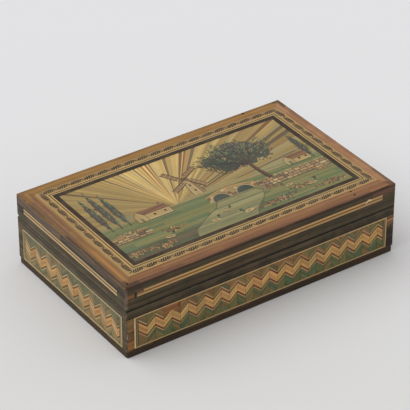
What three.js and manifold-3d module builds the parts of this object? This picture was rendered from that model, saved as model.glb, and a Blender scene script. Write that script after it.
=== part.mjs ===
// A straw-marquetry sewing box: a finger-jointed wooden box, sawn open into a base and a hinged lid,
// skinned with straw inlay, with a lift-out tray inside.
// Sizes are in millimetres, +Z is up. The origin is the centre of the underside, +X runs along the box,
// -Y is the front, and the lid is hinged along the back.
import * as THREE from "three";
import { mergeVertices } from "three/addons/utils/BufferGeometryUtils.js";
import Module from "manifold-3d";

const wasm = await Module();
wasm.setup();

// Overall sizes
const LENGTH = 270;
const WIDTH = 167;
const HEIGHT = 69;
const BASE_HEIGHT = 46;
const SEAM_GAP = 0.4;

// Boards and walls
const WALL = 5.5;
const BOTTOM_BOARD = 6.3;
const LID_BOARD = 4;
const BOARD_CORNER_RADIUS = 1.5;
const BOARD_EDGE_EASE = 0.8;
const FINGER_PITCH = 10.6;
const SHORTEST_FINGER = 1.5;

// Fits
const GLUE_LINE = 0.05;
const RUNNING_GAP = 0.3;

// Straw skin: straw on its paper backing
const STRAW = 0.5;
const STRAW_STEP = 0.08;
const INLAY_DEPTH = 0.35;

// Straw frame and panel on the base sides
const PANEL_LOW = 7.2;
const PANEL_BELOW_RIM = 8.6;
const PANEL_END_LONG = 7.5;
const PANEL_END_SHORT = 7;
const PANEL_LINE = 1.1;

// Zigzag ribbon let into the panel
const ZIGZAG_PERIOD_LONG = 16.1;
const ZIGZAG_PERIOD_SHORT = 16.75;
const ZIGZAG_RISE = 7;
const ZIGZAG_BAND = 7.5;
const ZIGZAG_DARK_LINE = 1.4;
const ZIGZAG_LIGHT_LINE = 1.5;
const ZIGZAG_END = 2.7;

// Double stringing on the lid sides
const STRINGING_LINE = 1.6;
const STRINGING_CORE = 1.7;
const STRINGING_START = 10.5;
const STRINGING_END = 13.2;
const STRINGING_DROP_LONG = 9.6;
const STRINGING_DROP_SHORT = 12.2;

// Lid top: reddish border folded over the edge, ornament band, double line, black frame, picture
const BORDER_FRONT = 12.8;
const BORDER_BACK = 9.4;
const BORDER_LEFT = 12.4;
const BORDER_RIGHT = 9.4;
const BORDER_FOLD = 1.4;
const BORDER_ROUND = 0.9;
const BORDER_ROUND_STEPS = 4;
const ORNAMENT_BAND = 6.4;
const TOP_LINE = 1.2;
const TOP_LINE_CORE = 1.2;
const BLACK_FRAME = 4.3;

// Butt hinges in the bevel along the back of the lid
const LID_BEVEL = 3;
const HINGE_FROM_END = 50;
const HINGE_LENGTH = 28;
const HINGE_KNUCKLES = 5;
const KNUCKLE_RADIUS = 1.25;
const PIN_RADIUS = 0.6;
const PIN_FIT = 0.1;
const PIN_INSET = 1.3;
const PIN_ABOVE_RIM = 0.8;
const LEAF_THICKNESS = 0.8;
const LEAF_WIDTH = 3.6;
const KNUCKLE_GAP = 0.2;
const ROUND_FACETS = 20;

// Lift-out tray on two ledges
const TRAY_HEIGHT = 15.5;
const TRAY_BELOW_RIM = 0.5;
const TRAY_CLEARANCE = 1.5;
const TRAY_WALL = 3;
const TRAY_FLOOR = 3;
const TRAY_SEAT = 0.1;
const TRAY_FINGERS = 3;
const LEDGE_DEPTH = 5;
const LEDGE_HEIGHT = 6;
const DIVIDER = 3;
const CROSS_DIVIDER_OFFSET = 45;
const GRIP_RISE = 1.5;
const GRIP_LENGTH = 60;
const GRIP_SHOULDER = 8;
const GRIP_SLOT_LENGTH = 25;
const GRIP_SLOT_HEIGHT = 7;
const GRIP_BAR = 3.2;

// Pincushion in the front left compartment
const CUSHION_CLEARANCE = 0.6;
const CUSHION_HEIGHT = 13.2;
const CUSHION_EDGE_HEIGHT = 6.5;
const CUSHION_TUCK = 2.6;
const CUSHION_SQUARENESS = 5;
const CUSHION_FACETS = 40;

// Lining under the lid board
const LINING = 0.4;
const LINING_MARGIN = 1;

// Worked out from the sizes above
const SKIN = STRAW + GLUE_LINE;
const CARCASS_LENGTH = LENGTH - 2 * SKIN;
const CARCASS_WIDTH = WIDTH - 2 * SKIN;
const INNER_LENGTH = CARCASS_LENGTH - 2 * WALL;
const INNER_WIDTH = CARCASS_WIDTH - 2 * WALL;
const BASE_WALL_LOW = BOTTOM_BOARD + GLUE_LINE;
const LID_LOW = BASE_HEIGHT + SEAM_GAP;
const LID_BOARD_HIGH = HEIGHT - SKIN;
const LID_BOARD_LOW = LID_BOARD_HIGH - LID_BOARD;
const LID_WALL_HIGH = LID_BOARD_LOW - GLUE_LINE;
const LID_SKIN_HIGH = HEIGHT - BORDER_FOLD - GLUE_LINE;
const HINGE_X = LENGTH / 2 - HINGE_FROM_END;
const PIN_Y = WIDTH / 2 - PIN_INSET;
const PIN_Z = BASE_HEIGHT + PIN_ABOVE_RIM;
const TRAY_TOP = BASE_HEIGHT - TRAY_BELOW_RIM;
const TRAY_LOW = TRAY_TOP - TRAY_HEIGHT;
const TRAY_LENGTH = INNER_LENGTH - 2 * TRAY_CLEARANCE;
const TRAY_WIDTH = INNER_WIDTH - 2 * TRAY_CLEARANCE;
const TRAY_INNER_LENGTH = TRAY_LENGTH - 2 * TRAY_WALL;
const TRAY_INNER_WIDTH = TRAY_WIDTH - 2 * TRAY_WALL;
const TRAY_FLOOR_HIGH = TRAY_LOW + TRAY_FLOOR;

// The four sides, each turned about Z from the front
const SIDES = [
  { name: "front", turn: 0, long: true, lostStrip: true },
  { name: "right", turn: Math.PI / 2, long: false, lostStrip: false },
  { name: "back", turn: Math.PI, long: true, lostStrip: false },
  { name: "left", turn: -Math.PI / 2, long: false, lostStrip: false },
];

const MATERIALS = {
  carcass: { color: 0x9a6a42, roughness: 0.7, metalness: 0 },
  bottom: { color: 0x2b2320, roughness: 0.7, metalness: 0 },
  darkStraw: { color: 0x3a322b, roughness: 0.45, metalness: 0 },
  lightStraw: { color: 0xcaa468, roughness: 0.4, metalness: 0 },
  zigzagStraw: { color: 0xc0935a, roughness: 0.4, metalness: 0 },
  greenStraw: { color: 0x5f6e4c, roughness: 0.45, metalness: 0 },
  redStraw: { color: 0xa4683f, roughness: 0.45, metalness: 0 },
  ornamentStraw: { color: 0xb9a06a, roughness: 0.45, metalness: 0 },
  blackStraw: { color: 0x26221f, roughness: 0.4, metalness: 0 },
  pictureStraw: { color: 0xb59a61, roughness: 0.45, metalness: 0 },
  brass: { color: 0xb08d4a, roughness: 0.35, metalness: 0.9 },
  liningPaper: { color: 0x7a2f2c, roughness: 0.85, metalness: 0 },
  trayWood: { color: 0xb98d5c, roughness: 0.6, metalness: 0 },
  cushionCloth: { color: 0x7a2530, roughness: 0.9, metalness: 0 },
};

// Solids and booleans

/** The manifold solid of a closed geometry. */
function solidOf(geometry) {
  const bare = geometry.clone();
  bare.deleteAttribute("normal");
  bare.deleteAttribute("uv");
  const merged = mergeVertices(bare);
  return new wasm.Manifold(
    new wasm.Mesh({
      numProp: 3,
      vertProperties: merged.attributes.position.array,
      triVerts: new Uint32Array(merged.index.array),
    }),
  );
}

/** The geometry of a manifold solid. */
function geometryOf(solid) {
  const mesh = solid.getMesh();
  const geometry = new THREE.BufferGeometry();
  const points = new Float32Array(mesh.vertProperties);
  geometry.setAttribute("position", new THREE.BufferAttribute(points, 3));
  geometry.setIndex(new THREE.BufferAttribute(new Uint32Array(mesh.triVerts), 1));
  geometry.computeVertexNormals();
  return geometry;
}

/** One geometry joined from several closed ones. */
function join(...geometries) {
  return geometryOf(geometries.map(solidOf).reduce((whole, piece) => whole.add(piece)));
}

/** A geometry with others cut out of it. */
function cut(geometry, ...cutters) {
  const solids = cutters.map(solidOf);
  return geometryOf(solids.reduce((whole, cutter) => whole.subtract(cutter), solidOf(geometry)));
}

/** What two geometries have in common. */
function common(geometry, other) {
  return geometryOf(solidOf(geometry).intersect(solidOf(other)));
}

/** Cuts solids given in the part's frame out of a mesh that is already in its place. */
function carve(mesh, ...cutters) {
  mesh.updateWorldMatrix(true, false);
  const toMesh = mesh.matrixWorld.clone().invert();
  mesh.geometry = cut(mesh.geometry, ...cutters.map((cutter) => cutter.clone().applyMatrix4(toMesh)));
}

/** A named mesh with its own material. */
function piece(name, geometry, look) {
  const mesh = new THREE.Mesh(geometry, new THREE.MeshStandardMaterial({ ...look, flatShading: true }));
  mesh.name = name;
  return mesh;
}

// Plain forms

/** A box between two corners. */
function block(x0, x1, y0, y1, z0, z1) {
  const geometry = new THREE.BoxGeometry(x1 - x0, y1 - y0, z1 - z0);
  return geometry.translate((x0 + x1) / 2, (y0 + y1) / 2, (z0 + z1) / 2);
}

/** A flat plate from an outline, between two heights. */
function plate(shape, low, high) {
  const geometry = new THREE.ExtrudeGeometry(shape, { depth: high - low, bevelEnabled: false });
  return geometry.translate(0, 0, low);
}

/** A straight bar along X, from its section given in the plane of Y and Z. */
function barAlongX(section, x0, x1, steps = 1) {
  const settings = { depth: x1 - x0, bevelEnabled: false, curveSegments: steps };
  const turn = new THREE.Matrix4().makeBasis(
    new THREE.Vector3(0, 1, 0),
    new THREE.Vector3(0, 0, 1),
    new THREE.Vector3(1, 0, 0),
  );
  return new THREE.ExtrudeGeometry(section, settings).applyMatrix4(turn).translate(x0, 0, 0);
}

/** A rod along X between two ends. */
function rodAlongX(x0, x1, radius, y, z) {
  const geometry = new THREE.CylinderGeometry(radius, radius, x1 - x0, ROUND_FACETS);
  geometry.rotateZ(-Math.PI / 2);
  return geometry.translate((x0 + x1) / 2, y, z);
}

/** A closed outline through points given as [x, y]. */
function outline(points) {
  return new THREE.Shape(points.map(([x, y]) => new THREE.Vector2(x, y)));
}

/** The four corners of a rectangle, running anticlockwise. */
function corners(area) {
  return [
    [area.left, area.front],
    [area.right, area.front],
    [area.right, area.back],
    [area.left, area.back],
  ];
}

/** A rectangle drawn in on all sides. */
function inset(area, margin) {
  return {
    left: area.left + margin,
    right: area.right - margin,
    front: area.front + margin,
    back: area.back - margin,
  };
}

/** A flat frame of one width round a rectangle. */
function frameShape(area, width) {
  const shape = outline(corners(area));
  shape.holes.push(outline(corners(inset(area, width))));
  return shape;
}

/** A rectangle with rounded corners. */
function roundedRectangle(length, width, radius) {
  const x = length / 2;
  const y = width / 2;
  const shape = new THREE.Shape();
  shape.moveTo(-x + radius, -y);
  shape.lineTo(x - radius, -y);
  shape.absarc(x - radius, -y + radius, radius, -Math.PI / 2, 0);
  shape.lineTo(x, y - radius);
  shape.absarc(x - radius, y - radius, radius, 0, Math.PI / 2);
  shape.lineTo(-x + radius, y);
  shape.absarc(-x + radius, y - radius, radius, Math.PI / 2, Math.PI);
  shape.lineTo(-x, -y + radius);
  shape.absarc(-x + radius, -y + radius, radius, Math.PI, 1.5 * Math.PI);
  return shape;
}

/**
 * A group whose local x runs along one side of the box as seen from outside, local y is up,
 * and local z points out. Its origin lies at mid length, at the given reach from the centre.
 */
function sideFrame(parent, side, reachLong, reachShort) {
  const turned = new THREE.Group();
  turned.rotation.z = side.turn;
  const face = new THREE.Group();
  face.rotation.x = Math.PI / 2;
  face.position.y = side.long ? -reachLong : -reachShort;
  turned.add(face);
  parent.add(turned);
  return face;
}

// Finger-jointed walls

/** The heights where the fingers change over between two heights, counted from one starting height. */
function fingerLevels(low, high, start, pitch) {
  const levels = [];
  const first = Math.floor((low - start) / pitch) + 1;
  for (let k = first; start + k * pitch < high; k++) {
    const z = start + k * pitch;
    if (z - low > SHORTEST_FINGER && high - z > SHORTEST_FINGER) levels.push({ z, parity: k });
  }
  return levels;
}

/** A wall whose ends have fingers: long walls own the even levels, short walls the odd ones. */
function fingerWall(length, thickness, low, high, start, pitch, ownsEven) {
  const outer = length / 2;
  const inner = outer - thickness - GLUE_LINE;
  const changes = fingerLevels(low, high, start, pitch);
  const lowest = changes.length ? changes[0].parity - 1 : 0;
  const owns = (parity) => Math.abs(parity % 2) === (ownsEven ? 0 : 1);
  const edge = [[owns(lowest) ? outer : inner, low]];
  for (const { z, parity } of changes) {
    const startsFinger = owns(parity);
    const fit = startsFinger ? GLUE_LINE / 2 : -GLUE_LINE / 2;
    edge.push([startsFinger ? inner : outer, z + fit]);
    edge.push([startsFinger ? outer : inner, z + fit]);
  }
  edge.push([edge.at(-1)[0], high]);
  const mirrored = edge.map(([x, z]) => [-x, z]).reverse();
  return plate(outline([...edge, ...mirrored]), -thickness, 0);
}

// Straw on the sides of the base

/** The panel of one side, in the side's own frame. */
function panelArea(side) {
  const half = (side.long ? LENGTH : WIDTH) / 2;
  const end = side.long ? PANEL_END_LONG : PANEL_END_SHORT;
  return { left: -half + end, right: half - end, front: PANEL_LOW, back: BASE_HEIGHT - PANEL_BELOW_RIM };
}

/** Half the length that the straw of one side covers: the long sides lap the ends of the short ones. */
function skinReach(side) {
  return side.long ? LENGTH / 2 : CARCASS_WIDTH / 2;
}

/** The dark straw round the panel. On the front its left end strip is lost, so the finger joints show. */
function panelSurround(side) {
  const reach = skinReach(side);
  const window = inset(panelArea(side), -GLUE_LINE);
  if (!side.lostStrip) {
    const shape = outline(corners({ left: -reach, right: reach, front: BASE_WALL_LOW, back: BASE_HEIGHT }));
    shape.holes.push(outline(corners(window)));
    return plate(shape, GLUE_LINE, SKIN);
  }
  const shape = outline([
    [window.left, BASE_WALL_LOW],
    [reach, BASE_WALL_LOW],
    [reach, BASE_HEIGHT],
    [-reach, BASE_HEIGHT],
    [-reach, window.back],
    [window.right, window.back],
    [window.right, window.front],
    [window.left, window.front],
  ]);
  return plate(shape, GLUE_LINE, SKIN);
}

/** The corner points of a zigzag that starts on a peak, about height zero. */
function zigzagLine(start, end, period, rise) {
  const step = period / 2;
  const points = [];
  for (let k = 0; start + k * step < end; k++) {
    points.push([start + k * step, ((k % 2 === 0 ? 1 : -1) * rise) / 2]);
  }
  const [lastX, lastY] = points.at(-1);
  points.push([end, lastY * (1 - (2 * (end - lastX)) / step)]);
  return points;
}

/** A line whose two ends run on a little way, straight ahead. */
function runOn(line, reach) {
  const stretch = ([x, y], [nextX, nextY]) => {
    const stretched = x + Math.sign(x - nextX) * reach;
    return [stretched, y + ((nextY - y) / (nextX - x)) * (stretched - x)];
  };
  return [stretch(line[0], line[1]), ...line.slice(1, -1), stretch(line.at(-1), line.at(-2))];
}

/** A band between two heights above a line. */
function bandAlong(line, low, high) {
  const bottom = line.map(([x, y]) => [x, y + low]);
  const top = line.map(([x, y]) => [x, y + high]).reverse();
  return outline([...bottom, ...top]);
}

/** The middle line of one side's zigzag, in the side's own frame. */
function sideZigzag(side) {
  const ground = inset(panelArea(side), PANEL_LINE + GLUE_LINE);
  const period = side.long ? ZIGZAG_PERIOD_LONG : ZIGZAG_PERIOD_SHORT;
  const middle = (ground.front + ground.back) / 2;
  const line = zigzagLine(ground.left + ZIGZAG_END, ground.right - ZIGZAG_END, period, ZIGZAG_RISE);
  return line.map(([x, y]) => [x, y + middle]);
}

/** The green ground of a panel, with the groove that holds the ribbon. */
function zigzagGround(side) {
  const ground = plate(outline(corners(inset(panelArea(side), PANEL_LINE + GLUE_LINE))), GLUE_LINE, SKIN);
  const reach = ZIGZAG_BAND / 2 + ZIGZAG_DARK_LINE + ZIGZAG_LIGHT_LINE + GLUE_LINE;
  const groove = bandAlong(runOn(sideZigzag(side), GLUE_LINE), -reach, reach);
  return cut(ground, plate(groove, SKIN - INLAY_DEPTH, SKIN + INLAY_DEPTH));
}

/** The ribbon: a broad straw band between dark and light lines, the dark ones a little lower. */
function zigzagRibbon(side) {
  const line = sideZigzag(side);
  const low = SKIN - INLAY_DEPTH + GLUE_LINE;
  const bandEdge = ZIGZAG_BAND / 2;
  const darkEdge = bandEdge + ZIGZAG_DARK_LINE;
  const lightEdge = darkEdge + ZIGZAG_LIGHT_LINE;
  return join(
    plate(bandAlong(line, -lightEdge, lightEdge), low, SKIN - STRAW_STEP),
    plate(bandAlong(line, -lightEdge, -darkEdge), low, SKIN),
    plate(bandAlong(line, -bandEdge, bandEdge), low, SKIN),
    plate(bandAlong(line, darkEdge, lightEdge), low, SKIN),
  );
}

// Straw on the sides of the lid

/** Where one side's double stringing lies, in the side's own frame. */
function stringingArea(side) {
  const half = (side.long ? LENGTH : WIDTH) / 2;
  const middle = HEIGHT - (side.long ? STRINGING_DROP_LONG : STRINGING_DROP_SHORT);
  const reach = STRINGING_LINE + STRINGING_CORE / 2;
  return {
    left: -half + STRINGING_START,
    right: half - STRINGING_END,
    front: middle - reach,
    back: middle + reach,
  };
}

/** The dark straw of one lid side, with the slot that the stringing fills. */
function lidSkin(side) {
  const reach = skinReach(side);
  const shape = outline(corners({ left: -reach, right: reach, front: LID_LOW, back: LID_SKIN_HIGH }));
  shape.holes.push(outline(corners(inset(stringingArea(side), -GLUE_LINE))));
  return plate(shape, GLUE_LINE, SKIN);
}

/** Two light lines with a darker, slightly lower one between them. */
function stringing(side) {
  const area = stringingArea(side);
  const core = inset(area, 0);
  core.front += STRINGING_LINE;
  core.back -= STRINGING_LINE;
  return join(
    plate(outline(corners(area)), GLUE_LINE, SKIN - STRAW_STEP),
    plate(outline(corners({ ...area, back: core.front })), GLUE_LINE, SKIN),
    plate(outline(corners({ ...area, front: core.back })), GLUE_LINE, SKIN),
  );
}

// Lid top

/** One mitred border strip, folded over the edge of the lid, with the widths of the strips it meets. */
function borderStrip(side, width, widthBefore, widthAfter) {
  const half = (side.long ? LENGTH : WIDTH) / 2;
  const section = new THREE.Shape();
  section.moveTo(HEIGHT, -width);
  section.lineTo(HEIGHT, -BORDER_ROUND);
  section.absarc(HEIGHT - BORDER_ROUND, -BORDER_ROUND, BORDER_ROUND, 0, Math.PI / 2, false);
  section.lineTo(HEIGHT - BORDER_FOLD, 0);
  section.lineTo(HEIGHT - BORDER_FOLD, -STRAW);
  section.lineTo(HEIGHT - STRAW, -STRAW);
  section.lineTo(HEIGHT - STRAW, -width);
  const strip = barAlongX(section, -half, half, BORDER_ROUND_STEPS);
  const reachOut = BORDER_FOLD;
  const before = reachOut * (widthBefore / width);
  const after = reachOut * (widthAfter / width);
  const mitred = outline([
    [-half + widthBefore + GLUE_LINE, -width],
    [half - widthAfter - GLUE_LINE, -width],
    [half + after - GLUE_LINE, reachOut],
    [-half - before + GLUE_LINE, reachOut],
  ]);
  const mould = plate(mitred, -HEIGHT - BORDER_FOLD, -HEIGHT + 2 * BORDER_FOLD).rotateX(Math.PI / 2);
  return common(strip, mould);
}

/** The rectangle inside the border, which holds the inlaid bands and the picture. */
function inlayArea() {
  return {
    left: -LENGTH / 2 + BORDER_LEFT,
    right: LENGTH / 2 - BORDER_RIGHT,
    front: -WIDTH / 2 + BORDER_FRONT,
    back: WIDTH / 2 - BORDER_BACK,
  };
}

/** The bands round the picture, from the outside in, and the picture itself. */
function lidInlay() {
  const low = HEIGHT - STRAW;
  const ornament = inset(inlayArea(), GLUE_LINE);
  const line = inset(ornament, ORNAMENT_BAND + GLUE_LINE);
  const lineWidth = 2 * TOP_LINE + TOP_LINE_CORE;
  const black = inset(line, lineWidth + GLUE_LINE);
  const picture = inset(black, BLACK_FRAME + GLUE_LINE);
  const doubleLine = join(
    plate(frameShape(line, lineWidth), low, HEIGHT - STRAW_STEP),
    plate(frameShape(line, TOP_LINE), low, HEIGHT),
    plate(frameShape(inset(line, TOP_LINE + TOP_LINE_CORE), TOP_LINE), low, HEIGHT),
  );
  const band = plate(frameShape(ornament, ORNAMENT_BAND), low, HEIGHT);
  const frame = plate(frameShape(black, BLACK_FRAME), low, HEIGHT);
  return [
    piece("lid_top_ornament_band", band, MATERIALS.ornamentStraw),
    piece("lid_top_double_line", doubleLine, MATERIALS.lightStraw),
    piece("lid_top_black_frame", frame, MATERIALS.blackStraw),
    piece("lid_top_picture", plate(outline(corners(picture)), low, HEIGHT), MATERIALS.pictureStraw),
  ];
}

// Butt hinges

/** The ends of one knuckle along the pin, counted from the left. */
function knuckleSpan(index) {
  const slot = HINGE_LENGTH / HINGE_KNUCKLES;
  const left = -HINGE_LENGTH / 2 + index * slot;
  return [left + KNUCKLE_GAP / 2, left + slot - KNUCKLE_GAP / 2];
}

/** A leaf about its pin: a plate between two heights with every second knuckle, bored for the pin. */
function hingeLeaf(firstKnuckle, plateLow, plateHigh) {
  const half = HINGE_LENGTH / 2;
  const solids = [block(-half, half, -LEAF_WIDTH, 0, plateLow, plateHigh)];
  const clearances = [];
  const clear = KNUCKLE_RADIUS + RUNNING_GAP;
  for (let k = 0; k < HINGE_KNUCKLES; k++) {
    const [left, right] = knuckleSpan(k);
    if (k % 2 === firstKnuckle) {
      solids.push(rodAlongX(left, right, KNUCKLE_RADIUS, 0, 0));
    } else {
      const [from, to] = [left - KNUCKLE_GAP, right + KNUCKLE_GAP];
      clearances.push(block(from, to, -clear, clear, -clear - LEAF_THICKNESS, clear));
    }
  }
  const bore = rodAlongX(-half - KNUCKLE_GAP, half + KNUCKLE_GAP, PIN_RADIUS + PIN_FIT, 0, 0);
  return cut(join(...solids), ...clearances, bore);
}

/** The wood that a hinge displaces: the round of its knuckles and the seat of one leaf. */
function hingeRecess(x, plateLow, plateHigh) {
  const half = HINGE_LENGTH / 2 + RUNNING_GAP;
  const seat = block(-half, half, -LEAF_WIDTH - RUNNING_GAP, GLUE_LINE, plateLow, plateHigh);
  return join(rodAlongX(-half, half, KNUCKLE_RADIUS + RUNNING_GAP, 0, 0), seat).translate(x, PIN_Y, PIN_Z);
}

/** The long triangular bevel along the back of the lid, where the knuckles lie. */
function lidBevel() {
  const beyond = 1;
  const section = outline([
    [WIDTH / 2 - LID_BEVEL - beyond, LID_LOW - beyond],
    [WIDTH / 2 + beyond, LID_LOW - beyond],
    [WIDTH / 2 + beyond, LID_LOW + LID_BEVEL + beyond],
  ]);
  return barAlongX(section, -LENGTH / 2 - beyond, LENGTH / 2 + beyond);
}

// Tray

/** A divider outline with a raised grip and a finger slot in its middle, in the plane of X and Z. */
function gripDividerShape() {
  const half = TRAY_INNER_LENGTH / 2 - GLUE_LINE;
  const low = TRAY_FLOOR_HIGH + GLUE_LINE;
  const high = TRAY_TOP + GRIP_RISE;
  const grip = GRIP_LENGTH / 2;
  const bend = GRIP_SHOULDER / 2;
  const shape = new THREE.Shape();
  shape.moveTo(-half, low);
  shape.lineTo(half, low);
  shape.lineTo(half, TRAY_TOP);
  shape.lineTo(grip + GRIP_SHOULDER, TRAY_TOP);
  shape.bezierCurveTo(grip + bend, TRAY_TOP, grip + bend, high, grip, high);
  shape.lineTo(-grip, high);
  shape.bezierCurveTo(-grip - bend, high, -grip - bend, TRAY_TOP, -grip - GRIP_SHOULDER, TRAY_TOP);
  shape.lineTo(-half, TRAY_TOP);
  const radius = GRIP_SLOT_HEIGHT / 2;
  const straight = GRIP_SLOT_LENGTH / 2 - radius;
  const middle = high - GRIP_BAR - radius;
  const slot = new THREE.Path();
  slot.moveTo(-straight, middle - radius);
  slot.lineTo(straight, middle - radius);
  slot.absarc(straight, middle, radius, -Math.PI / 2, Math.PI / 2, false);
  slot.lineTo(-straight, middle + radius);
  slot.absarc(-straight, middle, radius, Math.PI / 2, 1.5 * Math.PI, false);
  shape.holes.push(slot);
  return shape;
}

/** The long divider, notched from below for the cross dividers. */
function gripDivider() {
  const settings = { depth: DIVIDER, bevelEnabled: false, curveSegments: 8 };
  const board = new THREE.ExtrudeGeometry(gripDividerShape(), settings)
    .translate(0, 0, -DIVIDER / 2)
    .rotateX(Math.PI / 2);
  const notchHigh = lapHeight() + GLUE_LINE;
  const notches = [-1, 1].map((end) => lapNotch(end * CROSS_DIVIDER_OFFSET, TRAY_FLOOR_HIGH, notchHigh));
  return cut(board, ...notches);
}

/** The height where two crossing dividers meet. */
function lapHeight() {
  return (TRAY_FLOOR_HIGH + TRAY_TOP) / 2;
}

/** The notch that two crossing dividers cut in each other, between two heights. */
function lapNotch(x, low, high) {
  const half = DIVIDER / 2 + GLUE_LINE;
  return block(x - half, x + half, -half, half, low, high);
}

/** A cross divider, notched from above for the long one. */
function crossDivider(x) {
  const half = TRAY_INNER_WIDTH / 2 - GLUE_LINE;
  const low = TRAY_FLOOR_HIGH + GLUE_LINE;
  const board = block(x - DIVIDER / 2, x + DIVIDER / 2, -half, half, low, TRAY_TOP);
  return cut(board, lapNotch(x, lapHeight() - GLUE_LINE, TRAY_TOP + GLUE_LINE));
}

/** A crowned cushion with rounded corners and drawn-in sides, standing on height zero. */
function cushionGeometry(halfLength, halfWidth) {
  const rings = [];
  const sideSteps = 5;
  const crownSteps = 6;
  const crown = CUSHION_HEIGHT - CUSHION_EDGE_HEIGHT;
  for (let k = 0; k <= sideSteps; k++) {
    const angle = -Math.PI / 2 + (Math.PI * k) / sideSteps;
    const tuck = CUSHION_TUCK * (1 - Math.cos(angle));
    rings.push({ tuck, share: 1, z: (CUSHION_EDGE_HEIGHT / 2) * (1 + Math.sin(angle)) });
  }
  for (let k = 1; k < crownSteps; k++) {
    const share = Math.cos((Math.PI / 2) * (k / crownSteps));
    const lift = Math.sin((Math.PI / 2) * (k / crownSteps));
    rings.push({ tuck: CUSHION_TUCK, share, z: CUSHION_EDGE_HEIGHT + crown * lift });
  }
  const points = [];
  for (const { tuck, share, z } of rings) {
    for (let k = 0; k < CUSHION_FACETS; k++) {
      const angle = (2 * Math.PI * k) / CUSHION_FACETS;
      const bulge = (part) => Math.sign(part) * Math.abs(part) ** (2 / CUSHION_SQUARENESS);
      points.push((halfLength - tuck) * share * bulge(Math.cos(angle)));
      points.push((halfWidth - tuck) * share * bulge(Math.sin(angle)), z);
    }
  }
  points.push(0, 0, 0, 0, 0, CUSHION_HEIGHT);
  const bottomPoint = rings.length * CUSHION_FACETS;
  const faces = [];
  for (let k = 0; k < CUSHION_FACETS; k++) {
    const next = (k + 1) % CUSHION_FACETS;
    faces.push(bottomPoint, next, k);
    for (let ring = 0; ring < rings.length - 1; ring++) {
      const here = ring * CUSHION_FACETS;
      const above = here + CUSHION_FACETS;
      faces.push(here + k, here + next, above + next, here + k, above + next, above + k);
    }
    const last = (rings.length - 1) * CUSHION_FACETS;
    faces.push(last + k, last + next, bottomPoint + 1);
  }
  const geometry = new THREE.BufferGeometry();
  geometry.setAttribute("position", new THREE.Float32BufferAttribute(points, 3));
  geometry.setIndex(faces);
  geometry.computeVertexNormals();
  return geometry;
}

// Sub-assemblies

/** The base: bottom board, finger-jointed walls with their straw, and the tray's ledges. */
function makeBase() {
  const base = new THREE.Group();
  const board = new THREE.ExtrudeGeometry(
    roundedRectangle(LENGTH - 2 * BOARD_EDGE_EASE, WIDTH - 2 * BOARD_EDGE_EASE, BOARD_CORNER_RADIUS),
    {
      depth: BOTTOM_BOARD - 2 * BOARD_EDGE_EASE,
      bevelThickness: BOARD_EDGE_EASE,
      bevelSize: BOARD_EDGE_EASE,
      bevelSegments: 2,
      curveSegments: 4,
    },
  ).translate(0, 0, BOARD_EDGE_EASE);
  base.add(piece("base_bottom_board", board, MATERIALS.bottom));

  for (const side of SIDES) {
    const face = sideFrame(base, side, CARCASS_WIDTH / 2, CARCASS_LENGTH / 2);
    const length = side.long ? CARCASS_LENGTH : CARCASS_WIDTH;
    const wall = fingerWall(length, WALL, BASE_WALL_LOW, BASE_HEIGHT, BOTTOM_BOARD, FINGER_PITCH, side.long);
    const line = plate(frameShape(panelArea(side), PANEL_LINE), GLUE_LINE, SKIN);
    face.add(
      piece(`base_${side.name}_wall`, wall, MATERIALS.carcass),
      piece(`base_${side.name}_surround`, panelSurround(side), MATERIALS.darkStraw),
      piece(`base_${side.name}_panel_line`, line, MATERIALS.lightStraw),
      piece(`base_${side.name}_zigzag_ground`, zigzagGround(side), MATERIALS.greenStraw),
      piece(`base_${side.name}_zigzag_ribbon`, zigzagRibbon(side), MATERIALS.zigzagStraw),
    );
  }

  const ledgeHigh = TRAY_LOW - TRAY_SEAT;
  const ledgeOuter = INNER_LENGTH / 2 - GLUE_LINE;
  const ledgeEnd = INNER_WIDTH / 2 - GLUE_LINE;
  const ledgeInner = ledgeOuter - LEDGE_DEPTH;
  const ledgeLow = ledgeHigh - LEDGE_HEIGHT;
  const ledge = block(-ledgeOuter, -ledgeInner, -ledgeEnd, ledgeEnd, ledgeLow, ledgeHigh);
  base.add(piece("tray_ledge_left", ledge, MATERIALS.trayWood));
  base.add(piece("tray_ledge_right", ledge.clone().rotateZ(Math.PI), MATERIALS.trayWood));
  return base;
}

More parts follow.
